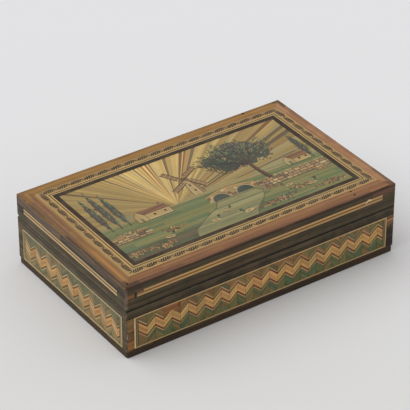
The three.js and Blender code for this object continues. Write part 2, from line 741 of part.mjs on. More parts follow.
/** The lid: a board on finger-jointed walls, with its straw and lining. */
function makeLid() {
  const lid = new THREE.Group();
  const [x, y] = [CARCASS_LENGTH / 2, CARCASS_WIDTH / 2];
  lid.add(piece("lid_board", block(-x, x, -y, y, LID_BOARD_LOW, LID_BOARD_HIGH), MATERIALS.carcass));

  const bevel = lidBevel();
  const borders = { front: BORDER_FRONT, right: BORDER_RIGHT, back: BORDER_BACK, left: BORDER_LEFT };
  SIDES.forEach((side, index) => {
    const before = SIDES[(index + SIDES.length - 1) % SIDES.length];
    const after = SIDES[(index + 1) % SIDES.length];
    const face = sideFrame(lid, side, CARCASS_WIDTH / 2, CARCASS_LENGTH / 2);
    const length = side.long ? CARCASS_LENGTH : CARCASS_WIDTH;
    const wall = fingerWall(length, WALL, LID_LOW, LID_WALL_HIGH, BOTTOM_BOARD, FINGER_PITCH, side.long);
    const parts = [
      piece(`lid_${side.name}_wall`, wall, MATERIALS.carcass),
      piece(`lid_${side.name}_skin`, lidSkin(side), MATERIALS.darkStraw),
    ];
    face.add(...parts, piece(`lid_${side.name}_stringing`, stringing(side), MATERIALS.lightStraw));
    if (side.name !== "front") {
      parts.forEach((part) => carve(part, bevel));
    }
    const edge = sideFrame(lid, side, WIDTH / 2, LENGTH / 2);
    const strip = borderStrip(side, borders[side.name], borders[before.name], borders[after.name]);
    edge.add(piece(`lid_${side.name}_border`, strip, MATERIALS.redStraw));
  });
  lid.add(...lidInlay());

  const liningHigh = LID_BOARD_LOW - GLUE_LINE;
  const liningX = INNER_LENGTH / 2 - LINING_MARGIN;
  const liningY = INNER_WIDTH / 2 - LINING_MARGIN;
  const lining = block(-liningX, liningX, -liningY, liningY, liningHigh - LINING, liningHigh);
  lid.add(piece("lid_lining", lining, MATERIALS.liningPaper));
  return lid;
}

/** Adds one hinge: its leaves and pin, let into the wood and straw of base and lid. */
function fitHinge(base, lid, name, x) {
  const baseLeafHigh = BASE_HEIGHT - PIN_Z;
  const baseLeafLow = baseLeafHigh - LEAF_THICKNESS;
  const lidLeafLow = LID_LOW - PIN_Z;
  const lidLeafHigh = lidLeafLow + LEAF_THICKNESS;
  const baseRecess = hingeRecess(x, baseLeafLow - GLUE_LINE, baseLeafHigh + SEAM_GAP);
  const lidRecess = hingeRecess(x, lidLeafLow - SEAM_GAP, lidLeafHigh + GLUE_LINE);
  for (const part of ["base_back_wall", "base_back_surround"]) {
    carve(base.getObjectByName(part), baseRecess);
  }
  for (const part of ["lid_back_wall", "lid_back_skin"]) {
    carve(lid.getObjectByName(part), lidRecess);
  }
  const pin = rodAlongX(-HINGE_LENGTH / 2, HINGE_LENGTH / 2, PIN_RADIUS, 0, 0);
  const inBase = new THREE.Group();
  inBase.position.set(x, PIN_Y, PIN_Z);
  inBase.add(piece(`hinge_${name}_base_leaf`, hingeLeaf(0, baseLeafLow, baseLeafHigh), MATERIALS.brass));
  inBase.add(piece(`hinge_${name}_pin`, pin, MATERIALS.brass));
  base.add(inBase);
  const inLid = new THREE.Group();
  inLid.position.copy(inBase.position);
  inLid.add(piece(`hinge_${name}_lid_leaf`, hingeLeaf(1, lidLeafLow, lidLeafHigh), MATERIALS.brass));
  lid.add(inLid);
}

/** The lift-out tray: floor, finger-jointed walls, crossing dividers and a pincushion. */
function makeTray() {
  const tray = new THREE.Group();
  const floorX = TRAY_INNER_LENGTH / 2 - GLUE_LINE;
  const floorY = TRAY_INNER_WIDTH / 2 - GLUE_LINE;
  const floor = block(-floorX, floorX, -floorY, floorY, TRAY_LOW, TRAY_FLOOR_HIGH);
  tray.add(piece("tray_floor", floor, MATERIALS.trayWood));
  for (const side of SIDES) {
    const face = sideFrame(tray, side, TRAY_WIDTH / 2, TRAY_LENGTH / 2);
    const length = side.long ? TRAY_LENGTH : TRAY_WIDTH;
    const pitch = TRAY_HEIGHT / TRAY_FINGERS;
    const wall = fingerWall(length, TRAY_WALL, TRAY_LOW, TRAY_TOP, TRAY_LOW, pitch, side.long);
    face.add(piece(`tray_${side.name}_wall`, wall, MATERIALS.trayWood));
  }
  tray.add(piece("tray_grip_divider", gripDivider(), MATERIALS.trayWood));
  tray.add(piece("tray_left_divider", crossDivider(-CROSS_DIVIDER_OFFSET), MATERIALS.trayWood));
  tray.add(piece("tray_right_divider", crossDivider(CROSS_DIVIDER_OFFSET), MATERIALS.trayWood));

  const room = {
    left: -TRAY_INNER_LENGTH / 2,
    right: -CROSS_DIVIDER_OFFSET - DIVIDER / 2,
    front: -TRAY_INNER_WIDTH / 2,
    back: -DIVIDER / 2,
  };
  const halfLength = (room.right - room.left) / 2 - CUSHION_CLEARANCE;
  const halfWidth = (room.back - room.front) / 2 - CUSHION_CLEARANCE;
  const stuffed = cushionGeometry(halfLength, halfWidth);
  const cushion = piece("tray_pincushion", stuffed, MATERIALS.cushionCloth);
  const seat = TRAY_FLOOR_HIGH + RUNNING_GAP;
  cushion.position.set((room.left + room.right) / 2, (room.front + room.back) / 2, seat);
  tray.add(cushion);
  return tray;
}

const base = makeBase();
const lid = makeLid();
fitHinge(base, lid, "left", -HINGE_X);
fitHinge(base, lid, "right", HINGE_X);

const sewingBox = new THREE.Group();
sewingBox.add(base, lid, makeTray());
export default sewingBox;
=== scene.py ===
"""Looks of a straw-marquetry sewing box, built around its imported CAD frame.

Flat work is laid out in millimetres in the frame of the side that it lies on, and turned into metres when a mesh is
made. Every straw of the inlay is a thin closed chip with its own tint and its own lay.
"""

from __future__ import annotations

import logging
from collections.abc import Iterable, Sequence
from dataclasses import dataclass, field, replace
from enum import Enum
from functools import cache
from math import atan2, ceil, cos, pi, radians, sin, sqrt
from random import Random

import bpy
from mathutils import Matrix, Vector


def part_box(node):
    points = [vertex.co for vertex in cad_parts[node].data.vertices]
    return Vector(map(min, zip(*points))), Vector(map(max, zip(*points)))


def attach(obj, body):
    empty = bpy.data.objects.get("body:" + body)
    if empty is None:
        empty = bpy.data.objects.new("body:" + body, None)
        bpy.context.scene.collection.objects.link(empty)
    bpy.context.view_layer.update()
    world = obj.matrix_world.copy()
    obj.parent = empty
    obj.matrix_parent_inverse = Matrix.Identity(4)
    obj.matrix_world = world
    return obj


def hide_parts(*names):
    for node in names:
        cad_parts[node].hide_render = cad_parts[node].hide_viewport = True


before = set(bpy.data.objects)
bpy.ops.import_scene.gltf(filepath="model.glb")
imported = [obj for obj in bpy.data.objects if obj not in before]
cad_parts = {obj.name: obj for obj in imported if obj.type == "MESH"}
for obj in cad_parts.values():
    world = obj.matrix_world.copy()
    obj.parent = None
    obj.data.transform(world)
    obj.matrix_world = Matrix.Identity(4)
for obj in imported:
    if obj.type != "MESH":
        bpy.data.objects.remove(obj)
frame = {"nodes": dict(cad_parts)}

LOG = logging.getLogger("sewing_box")
MM = 0.001
QUARTER = 0.5 * pi

Point = tuple[float, float]
Outline = Sequence[Point]
Spot = tuple[float, float, float]
Colour = Spot
Tints = tuple[Colour, ...]
Piece = bpy.types.Object
Material = bpy.types.Material
NodeTree = bpy.types.NodeTree


# Sides and areas


class Side(Enum):
    """One side of the box, by the name that its CAD nodes carry."""

    FRONT = "front"
    RIGHT = "right"
    BACK = "back"
    LEFT = "left"

    @property
    def is_long(self) -> bool:
        """Whether this is a long side."""
        return self in (Side.FRONT, Side.BACK)

    @property
    def place(self) -> Matrix:
        """The side's own frame in millimetres: x along it as seen from outside, y up, z outwards."""
        turn = {"front": 0.0, "right": QUARTER, "back": pi, "left": -QUARTER}[self.value]
        return Matrix.Scale(MM, 4) @ Matrix.Rotation(turn, 4, "Z") @ Matrix.Rotation(QUARTER, 4, "X")


TOP_PLACE = Matrix.Scale(MM, 4)


@dataclass(frozen=True)
class Area:
    """A flat rectangle in a side's frame, with the depth range of the piece that fills it, in millimetres."""

    left: float
    right: float
    low: float
    high: float
    inner: float = 0.0
    outer: float = 0.0

    @staticmethod
    def of_node(node: str, place: Matrix = TOP_PLACE) -> Area:
        """Where a CAD node lies in a side's frame."""
        a, b = (place.inverted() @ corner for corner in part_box(node))
        return Area(min(a.x, b.x), max(a.x, b.x), min(a.y, b.y), max(a.y, b.y), min(a.z, b.z), max(a.z, b.z))

    def inset(self, margin: float) -> Area:
        """This area drawn in on all four sides."""
        sides = self.left + margin, self.right - margin, self.low + margin, self.high - margin
        return Area(*sides, self.inner, self.outer)

    def corners(self) -> list[Point]:
        """The four corners, anticlockwise."""
        return [(self.left, self.low), (self.right, self.low), (self.right, self.high), (self.left, self.high)]


# Outlines


def edges(outline: Outline) -> Iterable[tuple[Point, Point]]:
    """Each point of an outline with the next one."""
    return zip(outline, [*outline[1:], outline[0]])


def heading(start: Point, end: Point) -> float:
    """The angle of the way from one point to another."""
    return atan2(end[1] - start[1], end[0] - start[0])


def shoelace(outline: Outline) -> float:
    """The signed size of an outline, above zero when it runs anticlockwise."""
    return 0.5 * sum(a[0] * b[1] - b[0] * a[1] for a, b in edges(outline))


def trimmed(outline: Outline, normal: Point, limit: float) -> list[Point]:
    """The part of an outline where the point's share along a normal stays under a limit.

    Args:
        outline: The outline's points, or none.
        normal: The direction that is limited.
        limit: The highest share that stays.

    Returns:
        The outline's points after the cut, or an empty list.
    """
    kept: list[Point] = []
    for a, b in edges(outline) if outline else ():
        over_a, over_b = (p[0] * normal[0] + p[1] * normal[1] - limit for p in (a, b))
        if over_a <= 0:
            kept.append(a)
        if over_a * over_b < 0:
            share = over_a / (over_a - over_b)
            kept.append((a[0] + share * (b[0] - a[0]), a[1] + share * (b[1] - a[1])))
    return kept if len(kept) > 2 else []


def within(outline: Outline, area: Area) -> list[Point]:
    """An outline trimmed to a rectangle.

    Args:
        outline: The outline's points.
        area: The rectangle.

    Returns:
        What is left of the outline, or an empty list.
    """
    for normal, limit in (((-1, 0), -area.left), ((1, 0), area.right), ((0, -1), -area.low), ((0, 1), area.high)):
        outline = trimmed(outline, normal, limit)
    return list(outline)


def drawn_in(outline: Outline, margin: float) -> list[Point] | None:
    """An anticlockwise outline drawn in by a margin.

    Args:
        outline: The outline's points.
        margin: How far every side moves in.

    Returns:
        The smaller outline, or None where the outline is too narrow or too sharp for it.
    """
    shortest_side, sharpest_spread, least_share = 1e-4, 0.35, 0.3
    result: list[Point] = []
    for k in range(len(outline)):
        before, here, after = (Vector(outline[(k + step) % len(outline)]) for step in (-1, 0, 1))
        if min((here - before).length, (after - here).length) < shortest_side:
            return None
        one, two = (here - before).normalized(), (after - here).normalized()
        inward = Vector((-one.y, one.x)), Vector((-two.y, two.x))
        spread = 1.0 + inward[0].dot(inward[1])
        if spread < sharpest_spread:
            return None
        moved = here + (inward[0] + inward[1]) * (margin / spread)
        result.append((moved.x, moved.y))
    return None if shoelace(result) < least_share * shoelace(outline) else result


def stroke(points: Outline, widths: Sequence[float]) -> list[Point]:
    """The outline of a line drawn through points with a width at each.

    Args:
        points: The middle of the line.
        widths: The whole width at each point.

    Returns:
        The line's outline, anticlockwise.
    """
    left: list[Point] = []
    right: list[Point] = []
    last = len(points) - 1
    for k, (here, width) in enumerate(zip(points, widths)):
        ahead = Vector(points[min(k + 1, last)]) - Vector(points[max(k - 1, 0)])
        across = Vector((-ahead.y, ahead.x)).normalized() * (0.5 * width)
        left.append((here[0] + across.x, here[1] + across.y))
        right.append((here[0] - across.x, here[1] - across.y))
    outline = right + left[::-1]
    return outline if shoelace(outline) > 0 else outline[::-1]


def box(left: float, low: float, width: float, height: float) -> list[Point]:
    """A rectangle's outline."""
    return Area(left, left + width, low, low + height).corners()


def disc(centre: Point, radius: float, count: int = 8) -> list[Point]:
    """A round outline about a centre."""
    turns = (2 * pi * k / count for k in range(count))
    return [(centre[0] + radius * cos(t), centre[1] + radius * sin(t)) for t in turns]


LEAF = ((0, 0), (0.3, -0.42), (0.62, -0.36), (1, 0), (0.62, 0.36), (0.3, 0.42))


def leaf(root: Point, length: float, width: float, angle: float) -> list[Point]:
    """A pointed leaf from its root along an angle."""
    spots = (Matrix.Rotation(angle, 2) @ Vector((length * along, width * across)) for along, across in LEAF)
    return [(root[0] + spot.x, root[1] + spot.y) for spot in spots]


def mitred(area: Area, start: float, end: float) -> list[tuple[list[Point], float]]:
    """The four members of a mitred frame between two insets of an area, each with the angle of its length."""
    pairs = zip(edges(area.inset(start).corners()), edges(area.inset(end).corners()))
    return [([a, b, d, c], (k % 2) * QUARTER) for k, ((a, b), (c, d)) in enumerate(pairs)]


# Pieces and chips of straw


def lit(tint: Colour, level: float) -> Colour:
    """A tint made lighter or darker by a factor."""
    return (tint[0] * level, tint[1] * level, tint[2] * level)


def placed(name: str, data: bpy.types.ID) -> Piece:
    """Makes an object in the scene's collection.

    Args:
        name: Its name.
        data: Its mesh, lamp or camera.

    Returns:
        The object.
    """
    made = bpy.data.objects.new(name, data)
    bpy.context.scene.collection.objects.link(made)
    return made


def settle(piece: Piece, body: str, slot: str, *nodes: str) -> None:
    """Parents a new piece to the body that carries it, and hides the CAD nodes that it replaces.

    Args:
        piece: The new piece.
        body: The CAD body that carries it.
        slot: Not used.
        *nodes: The CAD nodes that it replaces.
    """
    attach(piece, body)
    if nodes:
        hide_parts(*nodes)
    LOG.info("made %s on %s", piece.name, body)


@dataclass
class ChipSheet:
    """Straw chips that become one mesh, laid out in a side's frame in millimetres."""

    seed: int
    points: list[Spot] = field(default_factory=list)
    faces: list[list[int]] = field(default_factory=list)
    lays: list[float] = field(default_factory=list)
    tints: list[float] = field(default_factory=list)
    smallest: float = 0.01
    warmth: float = 0.35
    crown_drop: float = 0.45
    lay_reach: float = 400.0

    def __post_init__(self) -> None:
        """Starts the sheet's own row of random numbers."""
        self.rng = Random(self.seed)

    def shade(self, tint: Colour, vary: float) -> Colour:
        """A tint made a little lighter or darker, and a little warmer or cooler."""
        level, warmth = 1 + self.rng.uniform(-vary, vary), self.rng.uniform(-vary, vary) * self.warmth
        return (tint[0] * level * (1 + warmth), tint[1] * level, tint[2] * level * (1 - warmth))

    def add(
        self, outline: Outline, low: float, high: float, grain: float, tint: Colour,
        vary: float = 0.1, crown: float = 0.0, lift: float = 0.012,
    ) -> None:
        """Adds one closed chip.

        Args:
            outline: The chip's outline.
            low: Where its underside lies.
            high: Where its face lies.
            grain: The angle of its straw.
            tint: Its colour.
            vary: How far its colour may differ.
            crown: How far its rounded edge reaches in.
            lift: How far its face may lie lower by chance.
        """
        if len(outline) < 3 or abs(shoelace(outline)) < self.smallest:
            return
        ring = list(outline) if shoelace(outline) > 0 else list(outline)[::-1]
        face_high = high - self.rng.uniform(0, lift)
        inner = drawn_in(ring, crown) if crown > 0 else None
        levels = [(ring, low), (ring, face_high - self.crown_drop * crown if inner else face_high)]
        levels += [(inner, face_high)] if inner else []
        start, count = len(self.points), len(ring)
        for outline_at, level in levels:
            self.points.extend((x, y, level) for x, y in outline_at)
        colour = self.shade(tint, vary)
        shift = Vector([self.rng.uniform(0, self.lay_reach) for _ in range(2)])
        turn = Matrix.Rotation(-grain, 2)
        rings = [[start + row * count + k for k in range(count)] for row in range(len(levels))]
        made = [rings[0][::-1], rings[-1]]
        for lower, upper in zip(rings, rings[1:]):
            made.extend([a, b, d, c] for (a, b), (c, d) in zip(edges(lower), edges(upper)))
        self.faces.extend(made)
        for index in (index for face in made for index in face):
            self.lays.extend(turn @ Vector(self.points[index][:2]) + shift)
            self.tints.extend((*colour, 1.0))

    def build(self, name: str, place: Matrix, material: Material, body: str, slot: str, *nodes: str) -> None:
        """Makes the sheet's mesh and settles the piece.

        Args:
            name: The new piece's name.
            place: The frame that the chips are laid out in.
            material: The finish of all chips.
            body: The CAD body that carries it.
            slot: Not used; passed on to settle.
            *nodes: The CAD nodes that it replaces.
        """
        mesh = bpy.data.meshes.new(name)
        mesh.from_pydata([place @ Vector(point) for point in self.points], [], self.faces)
        mesh.uv_layers.new(name="lay").data.foreach_set("uv", self.lays)
        tint = mesh.color_attributes.new(name="tint", type="FLOAT_COLOR", domain="CORNER")
        tint.data.foreach_set("color", self.tints)
        mesh.materials.append(material)
        mesh.validate()
        settle(placed(name, mesh), body, slot, *nodes)


def dress(node: str, material: Material, soften: float = 0.0) -> None:
    """Gives a CAD node its finish, and rounds its edges with modifiers.

    Args:
        node: The CAD node's name.
        material: Its finish.
        soften: The rounding of its edges in millimetres, or zero for none.
    """
    shown = frame["nodes"][node]
    shown.data.materials.clear()
    shown.data.materials.append(material)
    if soften > 0:
        weld = shown.modifiers.new("Weld", "WELD")
        weld.merge_threshold = 1e-6
        bevel = shown.modifiers.new("Soft edges", "BEVEL")
        bevel.width = soften * MM
        bevel.segments = 2
        bevel.limit_method = "ANGLE"
        bevel.angle_limit = radians(35)
    LOG.info("dressed %s", node)


# Shader graphs


class Wire:
    """A value on its way through a node tree; arithmetic on it adds Math nodes."""

    def __init__(self, graph: Graph, socket: bpy.types.NodeSocket) -> None:
        """Keeps the graph and the socket."""
        self.graph = graph
        self.socket = socket

    def __add__(self, other: Value) -> Wire:
        """The sum."""
        return self.graph.math("ADD", self, other)

    def __sub__(self, other: Value) -> Wire:
        """The difference."""
        return self.graph.math("SUBTRACT", self, other)

    def __mul__(self, other: Value) -> Wire:
        """The product."""
        return self.graph.math("MULTIPLY", self, other)

    def __truediv__(self, other: Value) -> Wire:
        """The quotient."""
        return self.graph.math("DIVIDE", self, other)


Value = Wire | float | Sequence[float]


class Graph:
    """A node tree that is being put together."""

    def __init__(self, tree: NodeTree) -> None:
        """Keeps the tree."""
        self.tree = tree

    def feed(self, socket: bpy.types.NodeSocket, value: Value) -> None:
        """Links a socket to a wire or gives it a plain value.

        Args:
            socket: The socket.
            value: The wire or value; a plain colour gets its alpha.
        """
        if isinstance(value, Wire):
            self.tree.links.new(value.socket, socket)
        else:
            socket.default_value = (*value, 1.0) if socket.type == "RGBA" and len(value) == 3 else value

    def node(
        self, kind: str, inputs: dict[str | int, Value] | None = None, output: str | int = 0, **settings: object
    ) -> Wire:
        """Adds a node.

        Args:
            kind: The node's type name, without the word ShaderNode.
            inputs: Values or wires for its inputs.
            output: The output that is wanted.
            **settings: Its own properties.

        Returns:
            That output.
        """
        made = self.tree.nodes.new(f"ShaderNode{kind}")
        for key, setting in settings.items():
            setattr(made, key, setting)
        for key, value in (inputs or {}).items():
            self.feed(made.inputs[key], value)
        return Wire(self, made.outputs[output])

    def math(self, operation: str, *values: Value) -> Wire:
        """A Math node's result."""
        return self.node("Math", dict(enumerate(values)), operation=operation)

    def vector(self, operation: str, *values: Value, output: str | int = 0) -> Wire:
        """A Vector Math node's result."""
        return self.node("VectorMath", dict(enumerate(values)), output, operation=operation)

    def scaled(self, vector: Value, scale: Value) -> Wire:
        """A vector times a number."""
        return self.node("VectorMath", {0: vector, "Scale": scale}, operation="SCALE")

    def parts(self, vector: Value) -> list[Wire]:
        """A vector's three parts."""
        made = self.node("SeparateXYZ", {0: vector}).socket.node
        return [Wire(self, output) for output in made.outputs]

    def spot(self, *parts: Value) -> Wire:
        """A vector from its three parts."""
        return self.node("CombineXYZ", dict(enumerate(parts)))

    def noise(self, vector: Value, detail: float = 2.0, roughness: float = 0.5, scale: float = 1.0) -> Wire:
        """A noise texture's value."""
        inputs = {"Vector": vector, "Scale": scale, "Detail": detail, "Roughness": roughness}
        return self.node("TexNoise", inputs, "Fac")

    def ramp(self, value: Value, low: Value, high: Value, out_low: float = 0.0, out_high: float = 1.0) -> Wire:
        """A value moved smoothly from one range to another."""
        inputs = {"Value": value, "From Min": low, "From Max": high, "To Min": out_low, "To Max": out_high}
        return self.node("MapRange", inputs, "Result", interpolation_type="SMOOTHSTEP")

    def mix(self, share: Value, first: Value, second: Value, blend: str = "MIX") -> Wire:
        """Two colours mixed."""
        return self.node("Mix", {"Factor": share, 6: first, 7: second}, 2, data_type="RGBA", blend_type=blend)

    def group(self, tree: NodeTree, inputs: dict[str, Value]) -> dict[str, Wire]:
        """Places a node group and gives its outputs by name."""
        made = self.node("Group", inputs, node_tree=tree).socket.node
        return {output.name: Wire(self, output) for output in made.outputs}


class GroupGraph(Graph):
    """A shader node group that is being put together, with its inputs as wires in their order."""

    def __init__(self, name: str, inputs: dict[str, float | tuple[float, ...]]) -> None:
        """Starts the group.

        Args:
            name: The group's name.
            inputs: The default of each input; a tuple makes a vector.
        """
        super().__init__(bpy.data.node_groups.new(name, "ShaderNodeTree"))
        for key, default in inputs.items():
            kind = "NodeSocketVector" if isinstance(default, tuple) else "NodeSocketFloat"
            socket = self.tree.interface.new_socket(name=key, in_out="INPUT", socket_type=kind)
            socket.default_value = default
        entry = self.tree.nodes.new("NodeGroupInput")
        self.given = [Wire(self, entry.outputs[key]) for key in inputs]

    def finish(self, results: dict[str, Wire]) -> NodeTree:
        """Makes the number outputs and feeds them.

        Args:
            results: The wire of each output.

        Returns:
            The group.
        """
        for key in results:
            self.tree.interface.new_socket(name=key, in_out="OUTPUT", socket_type="NodeSocketFloat")
        leave = self.tree.nodes.new("NodeGroupOutput")
        for key, wire in results.items():
            self.feed(leave.inputs[key], wire)
        return self.tree


ORIGIN = (0.0, 0.0, 0.0)


@cache
def straw_lay_group() -> NodeTree:
    """Straws laid side by side: each with its own tone, fine fibres along it and a joint to the next.

    Returns:
        The group.
    """
    inputs = {"Lay": ORIGIN, "Straw Width": 3.0, "Tone": 0.1, "Fibre": 0.2, "Joint": 0.3}
    group = GroupGraph("Straw lay", inputs)
    lay, straw_width, tone, fibre, joint_depth = group.given
    along, across, _ = group.parts(lay)
    wander = group.noise(group.vector("MULTIPLY", lay, (0.014, 0.05, 0.0)), 1.0)
    row = (wander * 1.1 + across) / straw_width
    strand, part = group.math("FLOOR", row), group.math("FRACT", row)
    joint_reach = 0.2
    nearest = group.math("MINIMUM", part, group.math("SUBTRACT", 1.0, part)) * straw_width
    joint = group.ramp(nearest, 0.0, joint_reach, 1.0, 0.0)
    chance = group.node("TexWhiteNoise", {"W": strand}, "Value", noise_dimensions="1D")
    row_shift = strand * 5.37
    broad = group.noise(group.spot(along * 0.016, across * 1.1, row_shift))
    fine = group.noise(group.spot(along * 0.05, across * 6.0, row_shift), 3.0, 0.6)
    fibres = (broad - 0.5) + (fine - 0.5)
    toned = (chance - 0.5) * tone + (fibres * fibre + 1.0)
    darkest = 0.05
    shade = group.math("MAXIMUM", toned - joint * joint_depth, darkest)
    crown = group.math("SINE", part * pi)
    return group.finish({"Shade": shade, "Joint Mask": joint, "Height": fine * 0.35 + (crown - joint)})


@cache
def ageing_group() -> NodeTree:
    """Uneven ageing: broad soft blotches, and small specks of dirt and lost colour.

    Returns:
        The group.
    """
    group = GroupGraph("Ageing", {"Position": ORIGIN, "Blotch Size": 30.0, "Speck Size": 2.0})
    position, blotch_size, speck_size = group.given
    blotch = group.noise(group.scaled(position, group.math("DIVIDE", 1.0, blotch_size)), 3.0, 0.55)
    specks = group.noise(group.scaled(position, group.math("DIVIDE", 1.0, speck_size)), 3.0, 0.6)
    return group.finish({"Blotch": group.ramp(blotch, 0.38, 0.64), "Specks": group.ramp(specks, 0.6, 0.74)})


@cache
def edge_wear_group() -> NodeTree:
    """Wear along the edges of a box, broken up by noise; on the bare walls the same mask lays painted shade with
    grime.

    Returns:
        The group.
    """
    size = {"Half Length": 135.0, "Half Width": 83.5, "Low": 0.0, "High": 69.0}
    group = GroupGraph("Edge wear", {"Position": ORIGIN, **size, "Reach": 1.2, "Softness": 0.4, "Breakup": 3.0})
    position, half_length, half_width, low, high, reach, softness, breakup = group.given
    x, y, z = group.parts(position)
    gap_x, gap_y = half_length - group.math("ABSOLUTE", x), half_width - group.math("ABSOLUTE", y)
    gap_z = group.math("MINIMUM", z - low, high - z)
    second = group.math("MINIMUM", group.math("MAXIMUM", gap_x, gap_y), gap_z)
    edge = group.math("MAXIMUM", group.math("MINIMUM", gap_x, gap_y), second)
    uneven = group.noise(position, scale=0.11) + group.noise(position, scale=0.7) * 0.5
    mean = 0.68
    moved = (uneven - mean) * breakup + edge
    return group.finish({"Wear": group.ramp(moved, reach - softness, reach, 1.0, 0.0)})


@cache
def patch_group() -> NodeTree:
    """A soft-edged box-shaped patch about a centre.

    Returns:
        The group.
    """
    inputs = {"Position": ORIGIN, "Centre": ORIGIN, "Half Size": (1.0, 1.0, 1.0), "Ragged": 1.0, "Soft": 0.4}
    group = GroupGraph("Patch", inputs)
    position, centre, half_size, ragged, soft = group.given
    away = group.vector("SUBTRACT", position, centre)
    x, y, z = group.parts(group.vector("SUBTRACT", group.vector("ABSOLUTE", away), half_size))
    farthest = group.math("MAXIMUM", group.math("MAXIMUM", x, y), z)
    waves = 3.5
    spot = group.vector("ADD", group.scaled(group.vector("DIVIDE", away, half_size), waves), centre)
    moved = (group.noise(spot, 3.0) - 0.5) * (ragged * 4.0) + farthest
    return group.finish({"Mask": group.ramp(moved, soft * -1.0, soft, 1.0, 0.0)})


@cache
def wood_grain_group() -> NodeTree:
    """Plain-sawn wood: drawn-out growth rings, pores and slow changes of tone.

    Returns:
        The group.
    """
    group = GroupGraph("Wood grain", {"Grain": ORIGIN, "Ring Width": 3.0, "Contrast": 0.3})
    grain, ring_width, contrast = group.given
    drawn = group.vector("MULTIPLY", grain, (0.03, 1.0, 1.0))
    bend = group.noise(group.scaled(drawn, 0.16))
    _, across, deep = group.parts(drawn)
    saw = group.math("FRACT", (bend * 14.0 + (across + deep * 0.8)) / ring_width)
    late_wood = group.math("POWER", saw, 2.6)
    slow = group.noise(group.scaled(drawn, 0.05))
    fine = group.noise(group.vector("MULTIPLY", grain, (0.12, 3.4, 3.4)), 3.0, 0.6)
    pores = group.ramp(group.noise(group.vector("MULTIPLY", grain, (0.25, 5.0, 5.0)), 1.0), 0.62, 0.72)
    uneven = (late_wood * -0.6 + 1.0) + (slow + fine - 1.0)
    shade = (uneven - 0.8) * contrast + 1.0
    return group.finish({"Shade": shade, "Pores": pores, "Height": fine - pores * 0.8})


@cache
def weave_group() -> NodeTree:
    """Plain woven cloth with a short nap.

    Returns:
        The group.
    """
    group = GroupGraph("Weave", {"Position": ORIGIN, "Threads per mm": 2.2})
    position, threads = group.given
    drift = group.node("TexNoise", {"Vector": position, "Scale": 0.3}, "Color")
    x, y, _ = group.parts(group.scaled(group.vector("ADD", position, drift), threads))
    warp, weft = (group.math("SINE", part * (2 * pi)) for part in (x, y))
    nap = group.noise(position, 4.0, 0.7, 1.6)
    return group.finish({"Height": warp * weft * 0.3 + nap, "Nap": nap})


# Finishes


class Lay(Enum):
    """How the straw or grain of a finish runs."""

    ALONG_X = "x"
    ALONG_Y = "y"
    CHIPS = "chips"

    @staticmethod
    def of(side: Side) -> Lay:
        """The direction of a side's length."""
        return Lay.ALONG_X if side.is_long else Lay.ALONG_Y


@dataclass(frozen=True)
class WornBox:
    """The box whose edges a finish wears along, in millimetres; on the bare walls its edges take painted shade with
    grime.
    """

    low: float
    high: float
    reach: float = 0.9
    breakup: float = 3.5
    half_length: float = 135.0
    half_width: float = 83.5


@dataclass(frozen=True)
class ColourPatch:
    """A patch of another colour on a finish, in millimetres in the box's frame: mostly real stains and wear, some
    painted shadows and highlights.
    """

    centre: Spot
    half_size: Spot
    colour: Colour
    ragged: float = 1.0
    soft: float = 0.4


class Surface(Graph):
    """The graph of one material with a Principled BSDF."""

    def __init__(self, name: str, colour: Colour) -> None:
        """Starts the material.

        Args:
            name: The material's name.
            colour: What a viewport shows.
        """
        self.material = bpy.data.materials.new(name)
        self.material.use_nodes = True
        self.material.diffuse_color = (*colour, 1)
        super().__init__(self.material.node_tree)
        self.position = self.scaled(self.node("TexCoord", output="Object"), 1 / MM)

    def turned(self, lay: Lay) -> list[Wire]:
        """The point's parts in millimetres, the one along the grain first."""
        x, y, z = self.parts(self.position)
        return [y, x, z] if lay is Lay.ALONG_Y else [x, y, z]

    def aged(self, blotch_size: float, speck_size: float) -> tuple[Wire, Wire]:
        """The masks of the blotches and of the specks."""
        inputs = {"Position": self.position, "Blotch Size": blotch_size, "Speck Size": speck_size}
        return tuple(self.group(ageing_group(), inputs).values())

    def wear(self, box: WornBox) -> Wire:
        """The mask of the worn edges of a box."""
        sizes = {key.replace("_", " ").title(): size for key, size in vars(box).items()}
        return self.group(edge_wear_group(), {"Position": self.position, **sizes})["Wear"]

    def stained(self, tone: Value, stains: Sequence[ColourPatch]) -> Value:
        """A colour with patches laid over it: real stains and wear, and some painted shadows and highlights.

        Args:
            tone: The colour so far.
            patches: The patches, the last one uppermost.

        Returns:
            The stained colour.
        """
        for patch in stains:
            inputs = {"Position": self.position, "Centre": patch.centre, "Half Size": patch.half_size}
            inputs |= {"Ragged": patch.ragged, "Soft": patch.soft}
            tone = self.mix(self.group(patch_group(), inputs)["Mask"], tone, patch.colour)
        return tone

    def finish(
        self, tone: Value, rough: Value, bump: tuple[float, float, Value] | None = None, **plain: float
    ) -> Material:
        """Feeds the shader.

        Args:
            tone: The base colour.
            rough: The roughness.
            bump: The strength, the depth in metres and the height of the relief, if it has one.
            **plain: Other sockets' values, with underscores in their names.

        Returns:
            The finished material.
        """
        inputs = {"Base Color": tone, "Roughness": rough}
        if bump:
            inputs["Normal"] = self.node("Bump", dict(zip(("Strength", "Distance", "Height"), bump)))
        inputs |= {key.replace("_", " "): value for key, value in plain.items()}
        for key, value in inputs.items():
            self.feed(self.tree.nodes["Principled BSDF"].inputs[key], value)
        return self.material


